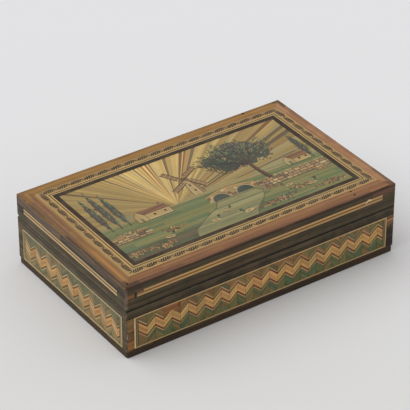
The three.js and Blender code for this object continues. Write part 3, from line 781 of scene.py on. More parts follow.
@dataclass(frozen=True)
class StrawFinish:
    """Split and flattened straw, natural or dyed, with its fibres, joints, ageing and wear."""

    name: str
    colour: Colour
    aged: Colour
    lay: Lay = Lay.CHIPS
    worn: Colour = (0.2, 0.13, 0.08)
    straw_width: float = 3.2
    tone: float = 0.3
    fibre: float = 0.5
    joint: float = 0.35
    blotch_size: float = 26.0
    speck_size: float = 2.2
    blotch: float = 0.5
    specks: float = 0.2
    chip_ageing: float = 0.6
    cast_size: float = 0.09
    roughness: float = 0.44
    joint_roughness: float = 0.25
    wear_share: float = 0.8
    wear_roughness: float = 0.2
    relief: float = 0.25
    depth: float = 0.0001
    gloss: float = 0.22
    worn_box: WornBox | None = None
    stains: tuple[ColourPatch, ...] = ()
    cast: Colour | None = None

    def on(self, side: Side) -> Material:
        """The material of one side, with that side's name and lay."""
        return replace(self, name=f"{self.name} {side.value}", lay=Lay.of(side)).build()

    def build(self) -> Material:
        """Builds the material.

        Returns:
            The material.
        """
        made = Surface(self.name, self.colour)
        base, aged = self.colour, self.aged
        if self.lay is Lay.CHIPS:
            lay = made.node("UVMap", uv_map="lay")
            base = made.node("Attribute", output="Color", attribute_name="tint")
            aged = made.mix(self.chip_ageing, base, self.aged)
        else:
            along, across, up = made.turned(self.lay)
            lay = made.spot(along, across + up, 0)
        sizes = {"Straw Width": self.straw_width, "Tone": self.tone, "Fibre": self.fibre, "Joint": self.joint}
        straw = made.group(straw_lay_group(), {"Lay": lay, **sizes})
        blotch, specks = made.aged(self.blotch_size, self.speck_size)
        tone = made.mix(blotch * self.blotch, base, aged)
        if self.cast:
            drift = made.noise(made.scaled(made.position, self.cast_size), roughness=0.6)
            tone = made.mix(made.ramp(drift, 0.4, 0.6), tone, made.mix(1, tone, self.cast, "MULTIPLY"))
        tone = made.mix(specks * self.specks, tone, self.worn)
        rough = straw["Joint Mask"] * self.joint_roughness + self.roughness
        if self.worn_box:
            wear = made.wear(self.worn_box)
            tone = made.mix(wear * self.wear_share, tone, self.worn)
            rough = wear * self.wear_roughness + rough
        tone = made.scaled(made.stained(tone, self.stains), straw["Shade"])
        return made.finish(tone, rough, (self.relief, self.depth, straw["Height"]), Specular_IOR_Level=self.gloss)


@dataclass(frozen=True)
class WoodFinish:
    """Planed softwood or fruitwood, bare, oiled or stained."""

    name: str
    colour: Colour
    dark: Colour
    lay: Lay = Lay.ALONG_X
    end_colour: Colour | None = None
    ring_width: float = 3.0
    contrast: float = 0.5
    roughness: float = 0.6
    pore_roughness: float = 0.2
    relief: float = 0.3
    depth: float = 0.00015
    blotch_size: float = 34.0
    speck_size: float = 2.6
    blotch: float = 0.5
    pores: float = 0.45
    specks: float = 0.3
    gloss: float = 0.25
    wear_share: float = 0.7
    worn: Colour = (0.3, 0.19, 0.1)
    worn_box: WornBox | None = None
    stains: tuple[ColourPatch, ...] = ()

    def build(self) -> Material:
        """Builds the material.

        Returns:
            The material.
        """
        made = Surface(self.name, self.colour)
        grain = made.spot(*made.turned(self.lay))
        inputs = {"Grain": grain, "Ring Width": self.ring_width, "Contrast": self.contrast}
        wood = made.group(wood_grain_group(), inputs)
        blotch, specks = made.aged(self.blotch_size, self.speck_size)
        tone = made.mix(blotch * self.blotch, self.colour, self.dark)
        if self.end_colour:
            facing = made.parts(made.node("TexCoord", output="Normal"))[0 if self.lay is Lay.ALONG_X else 1]
            tone = made.mix(made.ramp(made.math("ABSOLUTE", facing), 0.6, 0.8), tone, self.end_colour)
        tone = made.scaled(made.stained(tone, self.stains), wood["Shade"])
        tone = made.mix(wood["Pores"] * self.pores, tone, self.dark)
        tone = made.mix(specks * self.specks, tone, self.dark)
        if self.worn_box:
            tone = made.mix(made.wear(self.worn_box) * self.wear_share, tone, self.worn)
        rough = wood["Pores"] * self.pore_roughness + self.roughness
        return made.finish(tone, rough, (self.relief, self.depth, wood["Height"]), Specular_IOR_Level=self.gloss)


@dataclass(frozen=True)
class MetalFinish:
    """Old brass or iron with an uneven skin of tarnish."""

    name: str
    colour: Colour
    tarnish: Colour
    roughness: float = 0.32
    dull_roughness: float = 0.3
    amount: float = 0.6
    relief: float = 0.2
    depth: float = 0.00004

    def build(self) -> Material:
        """Builds the material.

        Returns:
            The material.
        """
        made = Surface(self.name, self.colour)
        blotch, specks = made.aged(5, 0.8)
        dull = made.math("MAXIMUM", blotch * self.amount, specks)
        brushed = made.noise(made.vector("MULTIPLY", made.position, (0.6, 8, 8)))
        tone = made.mix(dull, self.colour, self.tarnish)
        rough = dull * self.dull_roughness + self.roughness
        return made.finish(tone, rough, (self.relief, self.depth, brushed), Metallic=1)


@dataclass(frozen=True)
class PaperFinish:
    """Glued lining paper, mottled and a little rubbed."""

    name: str
    colour: Colour
    mottle: Colour
    rubbed: Colour
    roughness: float = 0.75
    fibre_roughness: float = 0.15
    relief: float = 0.35
    depth: float = 0.0001

    def build(self) -> Material:
        """Builds the material.

        Returns:
            The material.
        """
        made = Surface(self.name, self.colour)
        small, _ = made.aged(7, 1.3)
        broad, rubs = made.aged(60, 9)
        tone = made.mix(small * 0.6, self.colour, self.mottle)
        tone = made.mix(broad * 0.35, tone, self.mottle)
        tone = made.mix(rubs * 0.4, tone, self.rubbed)
        fibres = made.noise(made.position, 4, 0.7, 2.5)
        rough = fibres * self.fibre_roughness + self.roughness
        return made.finish(tone, rough, (self.relief, self.depth, fibres))


@dataclass(frozen=True)
class ClothFinish:
    """Short-napped woven cloth."""

    name: str
    colour: Colour
    faded: Colour
    threads: float = 1.9
    roughness: float = 0.88
    sheen: float = 0.35
    sheen_roughness: float = 0.4
    relief: float = 0.5
    depth: float = 0.0002

    def build(self) -> Material:
        """Builds the material.

        Returns:
            The material.
        """
        made = Surface(self.name, self.colour)
        weave = made.group(weave_group(), {"Position": made.position, "Threads per mm": self.threads})["Height"]
        blotch, _ = made.aged(14, 1.5)
        tone = made.scaled(made.mix(blotch * 0.5, self.colour, self.faded), weave * 0.5 + 0.72)
        sheen = {"Sheen_Weight": self.sheen, "Sheen_Roughness": self.sheen_roughness}
        return made.finish(tone, self.roughness, (self.relief, self.depth, weave), **sheen)


SEAM_LEVEL = 46
DARK = (0.046, 0.032, 0.015)
# The base front's dark straw is darker than DARK: painted shade on the front.
FRONT_PAINTED_SHADE_DARK = (0.033, 0.0215, 0.0095)
LID_FRONT_DARK = (0.058, 0.0365, 0.0165)
# The left side's dark straw is lighter and greyer: dust, with painted sheen.
LEFT_DUST_AND_SHEEN_DARK = (0.065, 0.0425, 0.0175)
SEAM_GRIME = (0.006, 0.005, 0.004)
BASE_BOX = WornBox(low=6, high=SEAM_LEVEL)
LID_BOX = WornBox(low=SEAM_LEVEL, high=69)
TOP_BOX = WornBox(low=40, high=69, reach=1.1, breakup=4)
BOTTOM_BOX = WornBox(low=0, high=6.3, reach=0.7, breakup=3)
# Near-black along the walls' rims, seen in the seam's gap: painted shade of the gap, with grime.
BASE_RIM_GRIME_AND_SHADE_BOX = WornBox(low=-20, high=SEAM_LEVEL, reach=1.2, breakup=1.5)
LID_RIM_GRIME_AND_SHADE_BOX = WornBox(low=SEAM_LEVEL + 0.4, high=90, reach=1.2, breakup=1.5)
# A near-black line along the seam between lid and base: painted shadow in the gap.
SEAM_PAINTED_SHADOW = ColourPatch((0, 0, SEAM_LEVEL + 0.2), (140, 90, 0.7), (0.02, 0.016, 0.009), 0.25, 0.15)
# A lighter line along the base's top edge just under the seam: painted highlight where the edge catches light, with
# rubbing.
RIM_RUB_AND_PAINTED_HIGHLIGHT = ColourPatch((0, 0, SEAM_LEVEL - 1.6), (140, 90, 0.4), (0.08, 0.062, 0.036), 0.5, 0.2)
# A dark line on the lid skins just under the border's folded edge: painted shadow of the fold.
UNDER_FOLD_PAINTED_SHADOW = ColourPatch((0, 0, 67.1), (140, 90, 0.3), (0.02, 0.014, 0.01), 0.4, 0.15)
# The painted rim highlight and the painted seam shadow, laid on every dark straw side.
RIM_HIGHLIGHT_AND_SEAM_SHADOW = (RIM_RUB_AND_PAINTED_HIGHLIGHT, SEAM_PAINTED_SHADOW)
BASE_FRONT_STAINS = (
    ColourPatch((131.4, -83.5, 33), (3.6, 2, 4.8), (0.24, 0.115, 0.05), 0.5),
    ColourPatch((60, -83.5, 4), (80, 2, 3), (0.06, 0.035, 0.02)),
    ColourPatch((-134.6, -83.5, 24), (1, 2, 17), (0.07, 0.045, 0.025), 0.5),
)
LID_FRONT_STAINS_AND_SHADOW = (
    ColourPatch((124, -83.5, 65), (13, 2, 2.4), (0.11, 0.05, 0.03)),
    ColourPatch((-131, -83.5, 59.2), (3.4, 2, 1.9), (0.13, 0.062, 0.018), 0.5),
    ColourPatch((-125.6, -83.5, 59.2), (0.8, 2, 2.4), SEAM_GRIME, 0.3),
    ColourPatch((-134.6, -83.5, 58), (1.3, 2, 10), (0.13, 0.085, 0.055), 0.7),
    UNDER_FOLD_PAINTED_SHADOW,
)
LID_LEFT_STAINS = (
    ColourPatch((-135, 0, 66.9), (2, 90, 0.7), (0.2, 0.115, 0.06), 0.8, 0.5),
    ColourPatch((-135, 48, 63.6), (2, 34, 3.4), (0.215, 0.14, 0.084), 1.1, 0.8),
    ColourPatch((-135, -30, 64.4), (2, 42, 1.6), (0.125, 0.088, 0.06), 0.9, 0.8),
    ColourPatch((-135, -83, 57), (2, 1.6, 9), (0.12, 0.08, 0.055), 0.7),
    ColourPatch((-135, 76.5, 55.4), (2, 2.6, 1), SEAM_GRIME, 0.3),
)
BORDER_WEAR = {
    Side.FRONT: (
        ColourPatch((-108, -81.6, 69), (30, 2.2, 1), (0.1, 0.052, 0.026), 1.2, 0.9),
        ColourPatch((-10, -81.9, 69), (120, 1.4, 1), (0.17, 0.078, 0.042), 1.2, 0.9),
        ColourPatch((20, -74.6, 69), (114, 1.6, 1), (0.3, 0.148, 0.065), 1.3, 0.9),
        ColourPatch((0, -83.5, 67.9), (140, 0.3, 1.1), (0.045, 0.025, 0.014), 0.4, 0.15),
        ColourPatch((133, -79, 69), (4, 5, 1.5), (0.13, 0.066, 0.038), 0.9, 0.9),
        ColourPatch((-128, -81, 69), (7, 2.2, 1.5), (0.085, 0.045, 0.025), 0.9, 0.8),
    ),
    Side.BACK: (ColourPatch((132, 82, 69), (5, 2.4, 1.5), (0.13, 0.07, 0.035), 0.9, 0.9),),
    Side.RIGHT: (
        ColourPatch((133.6, 78, 69), (2.2, 8, 1.5), (0.13, 0.07, 0.035), 0.9, 0.9),
        ColourPatch((133.8, -70, 69), (1.4, 16, 1.5), (0.15, 0.08, 0.045), 0.9, 0.9),
    ),
    Side.LEFT: (
        ColourPatch((-124, 0, 69), (1.3, 72, 1), (0.34, 0.2, 0.075), 1, 0.9),
        ColourPatch((-128.6, -46, 69), (2, 22, 1), (0.31, 0.145, 0.046), 1.2, 1.2),
        ColourPatch((-133.9, -38, 69), (1, 44, 1.5), (0.1, 0.066, 0.045), 0.9, 0.7),
        ColourPatch((-131.4, 30, 69), (1.6, 34, 1), (0.19, 0.105, 0.055), 1.2, 1),
        ColourPatch((-131.6, -78, 69), (2.8, 4, 1), (0.13, 0.07, 0.033), 0.9, 0.8),
        ColourPatch((-127.5, 40, 69), (1, 30, 1), (0.2, 0.09, 0.05), 1.2, 0.8),
    ),
}
# Each side's border colours: the straw's own colour differs by side, and part of the difference is painted sheen.
BORDER_REDS = {
    Side.FRONT: ((0.25, 0.112, 0.045), (0.29, 0.132, 0.055)),
    Side.BACK: ((0.25, 0.126, 0.033), (0.28, 0.15, 0.046)),
    Side.LEFT: ((0.272, 0.143, 0.05), (0.235, 0.112, 0.04)),
    Side.RIGHT: ((0.265, 0.13, 0.058), (0.345, 0.182, 0.092)),
}
BARE_CORNER = (
    ColourPatch((-131, -83, 34.6), (4.2, 1.5, 3), (0.25, 0.145, 0.052), 0.5),
    ColourPatch((-131, -83, 28), (4.2, 1.5, 3.6), (0.185, 0.1, 0.036), 0.5),
    ColourPatch((-130, -83, 19.5), (4.2, 1.5, 4.4), (0.125, 0.066, 0.026), 0.6),
    ColourPatch((-131, -83, 24), (4.2, 1.5, 0.5), (0.05, 0.027, 0.013), 0.25, 0.2),
    ColourPatch((-134.4, -83, 20.8), (0.5, 1.5, 2.6), (0.5, 0.4, 0.25), 0.25),
    ColourPatch((-131, -83, 11.4), (4.2, 1.5, 3.8), (0.255, 0.118, 0.033), 0.5),
    ColourPatch((-92, -83, 34), (9, 1.5, 4), (0.3, 0.12, 0.04), 0.6),
    ColourPatch((-84.4, -83, 34.6), (0.3, 1.5, 4), (0.03, 0.016, 0.008), 0.2),
)


class FinishCard:
    """Every finish of the box, built once."""

    def __init__(self) -> None:
        """Builds the materials."""
        dark = StrawFinish(
            "Dark straw base", DARK, (0.088, 0.055, 0.027), worn=(0.16, 0.11, 0.07), tone=0.9, fibre=2.2, joint=0.5,
            cast=(0.8, 0.95, 0.86), blotch_size=13, worn_box=BASE_BOX, stains=RIM_HIGHLIGHT_AND_SEAM_SHADOW,
        )
        base = {side: dark for side in Side}
        base[Side.FRONT] = replace(dark, colour=FRONT_PAINTED_SHADE_DARK, stains=(*BASE_FRONT_STAINS, *RIM_HIGHLIGHT_AND_SEAM_SHADOW))
        # The left side's lighter dark straw, aged and worn colours: dust, with painted sheen.
        base[Side.LEFT] = replace(dark, colour=LEFT_DUST_AND_SHEEN_DARK, aged=(0.12, 0.084, 0.048), worn=(0.2, 0.15, 0.11))
        # Each lid side's stains, and the painted shadow under the border's fold.
        lid_stains_and_shadows = {Side.FRONT: LID_FRONT_STAINS_AND_SHADOW, Side.LEFT: LID_LEFT_STAINS}
        lid = {
            side: replace(
                finish, name="Dark straw lid", worn_box=LID_BOX, stains=(*lid_stains_and_shadows.get(side, (UNDER_FOLD_PAINTED_SHADOW,)), *RIM_HIGHLIGHT_AND_SEAM_SHADOW)
            )
            for side, finish in base.items()
        }
        lid[Side.FRONT] = replace(lid[Side.FRONT], colour=LID_FRONT_DARK)
        self.base_dark = {side: finish.on(side) for side, finish in base.items()}
        self.lid_dark = {side: finish.on(side) for side, finish in lid.items()}
        self.border = {
            side: StrawFinish(
                "Red straw", colour, aged, stains=BORDER_WEAR[side], worn=(0.1, 0.066, 0.044), worn_box=TOP_BOX,
                blotch_size=34, blotch=0.8, fibre=1.1, tone=0.4, joint=0.35, straw_width=3.4, gloss=0.16,
            ).on(side)
            for side, (colour, aged) in BORDER_REDS.items()
        }
        chips = StrawFinish(
            "Straw chips", (0.4, 0.27, 0.12), (0.22, 0.16, 0.09), straw_width=2.6, tone=0.12, joint=0.2, blotch=0.3,
            worn=(0.1, 0.075, 0.05), specks=0.35, fibre=0.45, blotch_size=18,
        )
        picture = StrawFinish(
            "Picture straw", (0.4, 0.27, 0.12), (0.2, 0.17, 0.1), straw_width=4.4, tone=0.1, joint=0.18, blotch=0.25,
            worn=(0.12, 0.09, 0.06), specks=0.2, fibre=0.4, blotch_size=22,
        )
        # The near-black worn colour along the walls' rims is painted shade of the seam's gap, with grime; the mask
        # darkens their upright edges too.
        wall = WoodFinish(
            "Base wood long", (0.26, 0.12, 0.036), (0.12, 0.055, 0.02), contrast=0.8, worn=(0.02, 0.014, 0.01),
            worn_box=BASE_RIM_GRIME_AND_SHADE_BOX, stains=BARE_CORNER,
        )
        cross = replace(wall, name="Base wood short", lay=Lay.ALONG_Y, end_colour=(0.11, 0.052, 0.02))
        tray = WoodFinish("Tray wood long", (0.38, 0.235, 0.115), (0.2, 0.115, 0.055), contrast=0.55, roughness=0.5)
        tray_cross = replace(tray, name="Tray wood short", lay=Lay.ALONG_Y, end_colour=(0.27, 0.15, 0.075))
        bottom = WoodFinish(
            "Stained bottom board", (0.039, 0.0225, 0.0085), (0.022, 0.013, 0.006), contrast=0.8, roughness=0.5,
            worn=(0.1, 0.055, 0.03), worn_box=BOTTOM_BOX,
            # A lighter band on the bottom board's left end: painted sheen, with dust.
            stains=(ColourPatch((-135, 0, 3), (1, 90, 9), (0.046, 0.028, 0.0088), 0.2),),
        )
        self.base_long, self.base_short = wall.build(), cross.build()
        self.lid_long = replace(wall, name="Lid wood long", worn_box=LID_RIM_GRIME_AND_SHADE_BOX).build()
        self.lid_short = replace(cross, name="Lid wood short", worn_box=LID_RIM_GRIME_AND_SHADE_BOX).build()
        self.chips, self.picture, self.bottom = (made.build() for made in (chips, picture, bottom))
        self.tray, self.tray_cross = tray.build(), tray_cross.build()
        self.brass = MetalFinish("Hinge brass", (0.62, 0.44, 0.19), (0.22, 0.15, 0.08)).build()
        self.iron = MetalFinish("Nail iron", (0.045, 0.03, 0.022), (0.03, 0.018, 0.012), 0.7, amount=0.8).build()
        self.paper = PaperFinish("Lining paper", (0.2, 0.035, 0.03), (0.12, 0.022, 0.022), (0.34, 0.13, 0.1)).build()
        self.cloth = ClothFinish("Cushion cloth", (0.2, 0.028, 0.036), (0.3, 0.06, 0.06)).build()

    def base_wall(self, side: Side) -> Material:
        """The wood of a base wall."""
        return self.base_long if side.is_long else self.base_short

    def lid_wall(self, side: Side) -> Material:
        """The wood of a lid wall."""
        return self.lid_long if side.is_long else self.lid_short


# The base


@dataclass(frozen=True)
class PanelTints:
    """The straw colours of one panel: for each slant the band, its dark line and its light line, then the rest."""

    # The rising and falling slants are one straw laid two ways; part of the difference between their tints is painted
    # sheen.
    rising: Tints = ((0.55, 0.333, 0.113), (0.09, 0.044, 0.014), (0.44, 0.3, 0.125))
    falling: Tints = ((0.55, 0.296, 0.102), (0.145, 0.045, 0.017), (0.46, 0.28, 0.13))
    frame: Colour = (0.47, 0.31, 0.14)
    frame_start: Colour = (0.78, 0.53, 0.27)
    end: Colour = (0.26, 0.17, 0.065)
    end_dark: Colour = (0.06, 0.065, 0.035)
    lower: Tints = (
        (0.12, 0.124, 0.041), (0.103, 0.117, 0.044), (0.143, 0.127, 0.042), (0.078, 0.115, 0.052),
        (0.2, 0.123, 0.045),
    )
    upper: Tints = (
        (0.2, 0.132, 0.04), (0.22, 0.117, 0.037), (0.15, 0.121, 0.041), (0.27, 0.132, 0.044), (0.12, 0.11, 0.044),
    )


# The left panel's lighter, greyer straws: dust, with painted sheen.
LEFT_DUST_AND_SHEEN_TINTS = PanelTints(
    rising=((0.55, 0.285, 0.088), (0.125, 0.066, 0.024), (0.55, 0.42, 0.2)),
    falling=((0.585, 0.37, 0.157), (0.26, 0.135, 0.06), (0.46, 0.34, 0.18)),
    frame=(0.57, 0.45, 0.245),
    frame_start=(0.46, 0.34, 0.16),
    end=(0.36, 0.25, 0.11),
    end_dark=(0.16, 0.1, 0.05),
    lower=((0.25, 0.18, 0.065), (0.19, 0.165, 0.068), (0.31, 0.195, 0.075), (0.155, 0.148, 0.064)),
    upper=((0.185, 0.148, 0.066), (0.15, 0.147, 0.07), (0.23, 0.158, 0.07), (0.14, 0.143, 0.07)),
)


@dataclass
class ZigzagPanel:
    """The inlaid panel of one base side: a zigzag straw ribbon between dark and light lines on a green ground."""

    card: FinishCard
    side: Side
    period: float
    seed: int
    tints: PanelTints = PanelTints()
    lost_columns: tuple[int, ...] = ()
    lift: float = 0.0
    rise: float = 7.0
    band: float = 7.5
    dark_line: float = 1.8
    light_line: float = 1.2
    end: float = 2.7
    ground_straw: float = 2.6
    ground_straws: int = 7
    joint: float = 0.05
    fold: float = 0.13
    depth: float = 0.03
    straw_levels: tuple[float, ...] = (1.04, 0.84, 1.1)
    same_tint: float = 0.6

    def __post_init__(self) -> None:
        """Finds the panel's ground and starts its three sheets of chips."""
        self.ground = Area.of_node(f"base_{self.side.value}_zigzag_ground", self.side.place)
        self.lines, self.green, self.ribbon = (ChipSheet(self.seed + k) for k in range(3))

    def columns(self) -> list[tuple[Point, Point]]:
        """The middle line of the zigzag in each upright strip of the panel.

        Returns:
            Each strip's line, from left to right.
        """
        ground, step = self.ground, 0.5 * self.period
        start, stop = ground.left + self.end, ground.right - self.end
        middle = 0.5 * (ground.low + ground.high) + self.lift
        count = ceil((stop - start) / step)
        spots = [(start + k * step, middle + (0.5 - k % 2) * self.rise) for k in range(count)]
        last_x, last_y = spots[-1]
        spots.append((stop, middle + (last_y - middle) * (1 - 2 * (stop - last_x) / step)))
        return list(zip(spots, spots[1:]))

    def slanted(self, column: tuple[Point, Point], one: float, other: float) -> list[Point]:
        """A straw that follows the zigzag in one column.

        Args:
            column: The zigzag's middle line in that column.
            one: The height of one long edge above the middle line.
            other: The height of the other.

        Returns:
            The straw's outline.
        """
        (x0, y0), (x1, y1) = column
        left, right = x0 + self.fold, x1 - self.fold
        below, above = min(one, other) + self.joint, max(one, other) - self.joint
        return [(left, y0 + below), (right, y1 + below), (right, y1 + above), (left, y0 + above)]

    def lay_ribbon(self, column: tuple[Point, Point], signs: Sequence[int]) -> None:
        """Lays the broad band and its lines in one column.

        Args:
            column: The zigzag's middle line in that column.
            signs: The sides of the band that still have their lines.
        """
        slope, area, sheet = heading(*column), self.ground, self.ribbon
        half, straw = 0.5 * self.band, self.band / len(self.straw_levels)
        band, line, edge = self.tints.rising if slope > 0 else self.tints.falling
        column_tint = sheet.shade(band, 0.12)
        for k, level in enumerate(self.straw_levels):
            outline = self.slanted(column, k * straw - half, (k + 1) * straw - half)
            sheet.add(outline, area.inner, area.outer, slope, lit(column_tint, level), vary=0.13, crown=0.16)
        rows = ((half, self.dark_line, line), (half + self.dark_line, self.light_line, edge))
        for sign, (near, width, tint) in ((sign, row) for sign in signs for row in rows):
            outline = self.slanted(column, sign * near, sign * (near + width))
            sheet.add(outline, area.inner, area.outer - self.depth, slope, tint, vary=0.18, crown=0.1)

    def lay_ground(self, column: tuple[Point, Point], signs: Sequence[int]) -> None:
        """Lays the slanting green straws below and above the ribbon in one column.

        Args:
            column: The zigzag's middle line in that column.
            signs: The sides of the ribbon that still have their ground.
        """
        slope, reach = heading(*column), 0.5 * self.band + self.dark_line + self.light_line
        area, sheet = self.ground, self.green
        for sign in signs:
            greens = self.tints.lower if sign < 0 else self.tints.upper
            column_tint = sheet.rng.choice(greens)
            for k in range(self.ground_straws):
                low, high = (sign * (reach + row * self.ground_straw) for row in (k, k + 1))
                outline = within(self.slanted(column, low, high), area)
                tint = column_tint if sheet.rng.random() < self.same_tint else sheet.rng.choice(greens)
                sheet.add(outline, area.inner, area.outer - self.depth, slope, tint, vary=0.24, crown=0.12)

    def lay_end(self, left: float, right: float) -> None:
        """Lays the narrow upright strips between the frame line and the end of the ribbon.

        Args:
            left: Where the strips begin.
            right: Where they end.
        """
        strips = ((0, 0.34, self.tints.end_dark), (0.34, 0.72, self.tints.end), (0.72, 1, self.tints.end_dark))
        for start, stop, tint in strips:
            a, b = (left + share * (right - left) for share in (start, stop))
            strip = replace(self.ground, left=a + self.joint, right=b - self.joint)
            top = strip.outer - self.depth
            self.green.add(strip.corners(), strip.inner, top, QUARTER, tint, vary=0.12, crown=0.1)

    def build(self) -> None:
        """Builds the panel's frame line, green ground and ribbon."""
        name, place, ground = self.side.value, self.side.place, self.ground
        rim = Area.of_node(f"base_{name}_panel_line", place)
        member_tints = (*[self.tints.frame] * 3, self.tints.frame_start)
        for (outline, grain), tint in zip(mitred(rim, 0, ground.left - rim.left - self.joint), member_tints):
            self.lines.add(outline, rim.inner, rim.outer, grain, tint, vary=0.12, crown=0.1)
        columns = self.columns()
        for index, column in enumerate(columns):
            signs = (-1,) if index in self.lost_columns else (-1, 1)
            self.lay_ground(column, signs)
            self.lay_ribbon(column, signs)
        self.lay_end(ground.left, columns[0][0][0])
        self.lay_end(columns[-1][1][0], ground.right)
        for sheet, piece, slot, node in (
            (self.lines, "frame_line", "light_straw", "panel_line"),
            (self.green, "green_ground", "green_straw", "zigzag_ground"),
            (self.ribbon, "zigzag_ribbon", "golden_straw", "zigzag_ribbon"),
        ):
            sheet.build(f"{name}_{piece}", place, self.card.chips, "base", slot, f"base_{name}_{node}")


@dataclass
class Base:
    """The base: finger-jointed walls under dark straw, a stained bottom board and four inlaid panels."""

    card: FinishCard
    long_period: float = 16.1
    short_period: float = 16.75
    lost_front_columns: tuple[int, ...] = (3, 4)
    front_lift: float = 1.6
    left_lift: float = -0.9
    floor_glue: float = 0.02
    floor_paper: float = 0.25
    floor_margin: float = 0.6
    floor_tint: Colour = (0.2, 0.03, 0.03)

    def dress_frame(self) -> None:
        """Gives the base's CAD nodes their finishes."""
        dress("base_bottom_board", self.card.bottom)
        for side in Side:
            dress(f"base_{side.value}_wall", self.card.base_wall(side), 0.2)
            dress(f"base_{side.value}_surround", self.card.base_dark[side])
        for end in ("left", "right"):
            dress(f"tray_ledge_{end}", self.card.tray_cross, 0.4)

    def line_floor(self) -> None:
        """Glues the lining paper on the bottom board."""
        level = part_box("base_bottom_board")[1].z / MM
        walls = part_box("base_left_wall")[1].x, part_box("base_front_wall")[1].y
        right, back = (-inner / MM - self.floor_margin for inner in walls)
        sheet = ChipSheet(seed=91)
        outline = box(-right, -back, 2 * right, 2 * back)
        low, high = level + self.floor_glue, level + self.floor_paper
        sheet.add(outline, low, high, 0, self.floor_tint, vary=0, crown=0.1)
        sheet.build("floor_paper", TOP_PLACE, self.card.paper, "base", "lining_paper")

    def build(self) -> None:
        """Builds and dresses the whole base."""
        self.dress_frame()
        self.line_floor()
        lifts = {Side.FRONT: self.front_lift, Side.LEFT: self.left_lift}
        for k, side in enumerate(Side):
            period = self.long_period if side.is_long else self.short_period
            lost = self.lost_front_columns if side is Side.FRONT else ()
            tints = LEFT_DUST_AND_SHEEN_TINTS if side is Side.LEFT else PanelTints()
            ZigzagPanel(self.card, side, period, 100 + 10 * k, tints, lost, lifts.get(side, 0)).build()


# The lid


LINE_TINT = (0.56, 0.335, 0.13)
CORE_TINT = (0.25, 0.125, 0.034)
# The left stringing's lighter, greyer colours: dust, with painted sheen.
LEFT_DUST_AND_SHEEN_LINE_TINT = (0.6, 0.42, 0.2)
LEFT_DUST_AND_SHEEN_CORE_TINT = (0.15, 0.088, 0.04)
BARE_TINT = (0.12, 0.07, 0.035)
SLIVER_TINT = (0.8, 0.6, 0.34)


@dataclass
class Stringing:
    """The double light line let into one lid side."""

    card: FinishCard
    side: Side
    seed: int
    line_tint: Colour = LINE_TINT
    core_tint: Colour = CORE_TINT
    late_start: float = 0.0
    lifted_at: float | None = None
    line: float = 1.6
    straw_length: float = 74.0
    shortest_straw: float = 6.0
    joint: float = 0.03
    drift: float = 0.05
    core_depth: float = 0.08
    bare_depth: float = 0.2

    def __post_init__(self) -> None:
        """Finds the stringing's area and starts its sheet of chips."""
        self.area = Area.of_node(f"lid_{self.side.value}_stringing", self.side.place)
        self.sheet = ChipSheet(self.seed)

    def lay_line(self, low: float, start: float) -> None:
        """Lays one light line, straw after straw.

        Args:
            low: The line's lower edge.
            start: Where its first straw begins.
        """
        x, area, sheet = start, self.area, self.sheet
        while x < area.right - 1:
            right = min(x + self.straw_length * sheet.rng.uniform(0.6, 1.3), area.right)
            if area.right - right < self.shortest_straw:
                right = area.right
            drift = sheet.rng.uniform(-self.drift, self.drift)
            below, above = low + self.joint, low + self.line - self.joint
            a, b = x + self.joint, right - self.joint
            outline = [(a, below), (b, below + drift), (b, above + drift), (a, above)]
            sheet.add(outline, area.inner, area.outer, 0, self.line_tint, vary=0.12, crown=0.14)
            x = right

    def build(self) -> None:
        """Builds the two lines and the brown strip between them."""
        name, area, sheet = self.side.value, self.area, self.sheet
        upper = area.high - self.line
        core = replace(area, low=area.low + self.line, high=upper)
        sheet.add(core.corners(), area.inner, area.outer - self.core_depth, 0, self.core_tint)
        self.lay_line(area.low, area.left)
        self.lay_line(upper, area.left + self.late_start)
        if self.late_start:
            bare = replace(area, right=area.left + self.late_start, low=upper)
            sheet.add(bare.corners(), area.inner, area.outer - self.bare_depth, 0, BARE_TINT)
        if self.lifted_at is not None:
            root = area.left + self.lifted_at
            spots = [(root, area.high - 2.4), (root + 3, area.high + 0.4), (root + 6.5, area.high - 0.4)]
            low, high = area.outer - 0.1, area.outer + 0.45
            sheet.add(stroke(spots, (0.5, 1.5, 0.9)), low, high, 0.5, SLIVER_TINT, vary=0.05)
        node = f"lid_{name}_stringing"
        sheet.build(f"lid_{name}_double_line", self.side.place, self.card.chips, "lid", "light_straw", node)


BAND_TINT = (0.335, 0.203, 0.073)
SCROLL_TINT = (0.026, 0.019, 0.012)
TOP_LINE_TINT = (0.46, 0.31, 0.11)
TOP_CORE_TINT = (0.1, 0.055, 0.028)
FRAME_TINT = (0.026, 0.013, 0.004)
TOP_JOINT = 0.02
TOP_GAP = 0.05


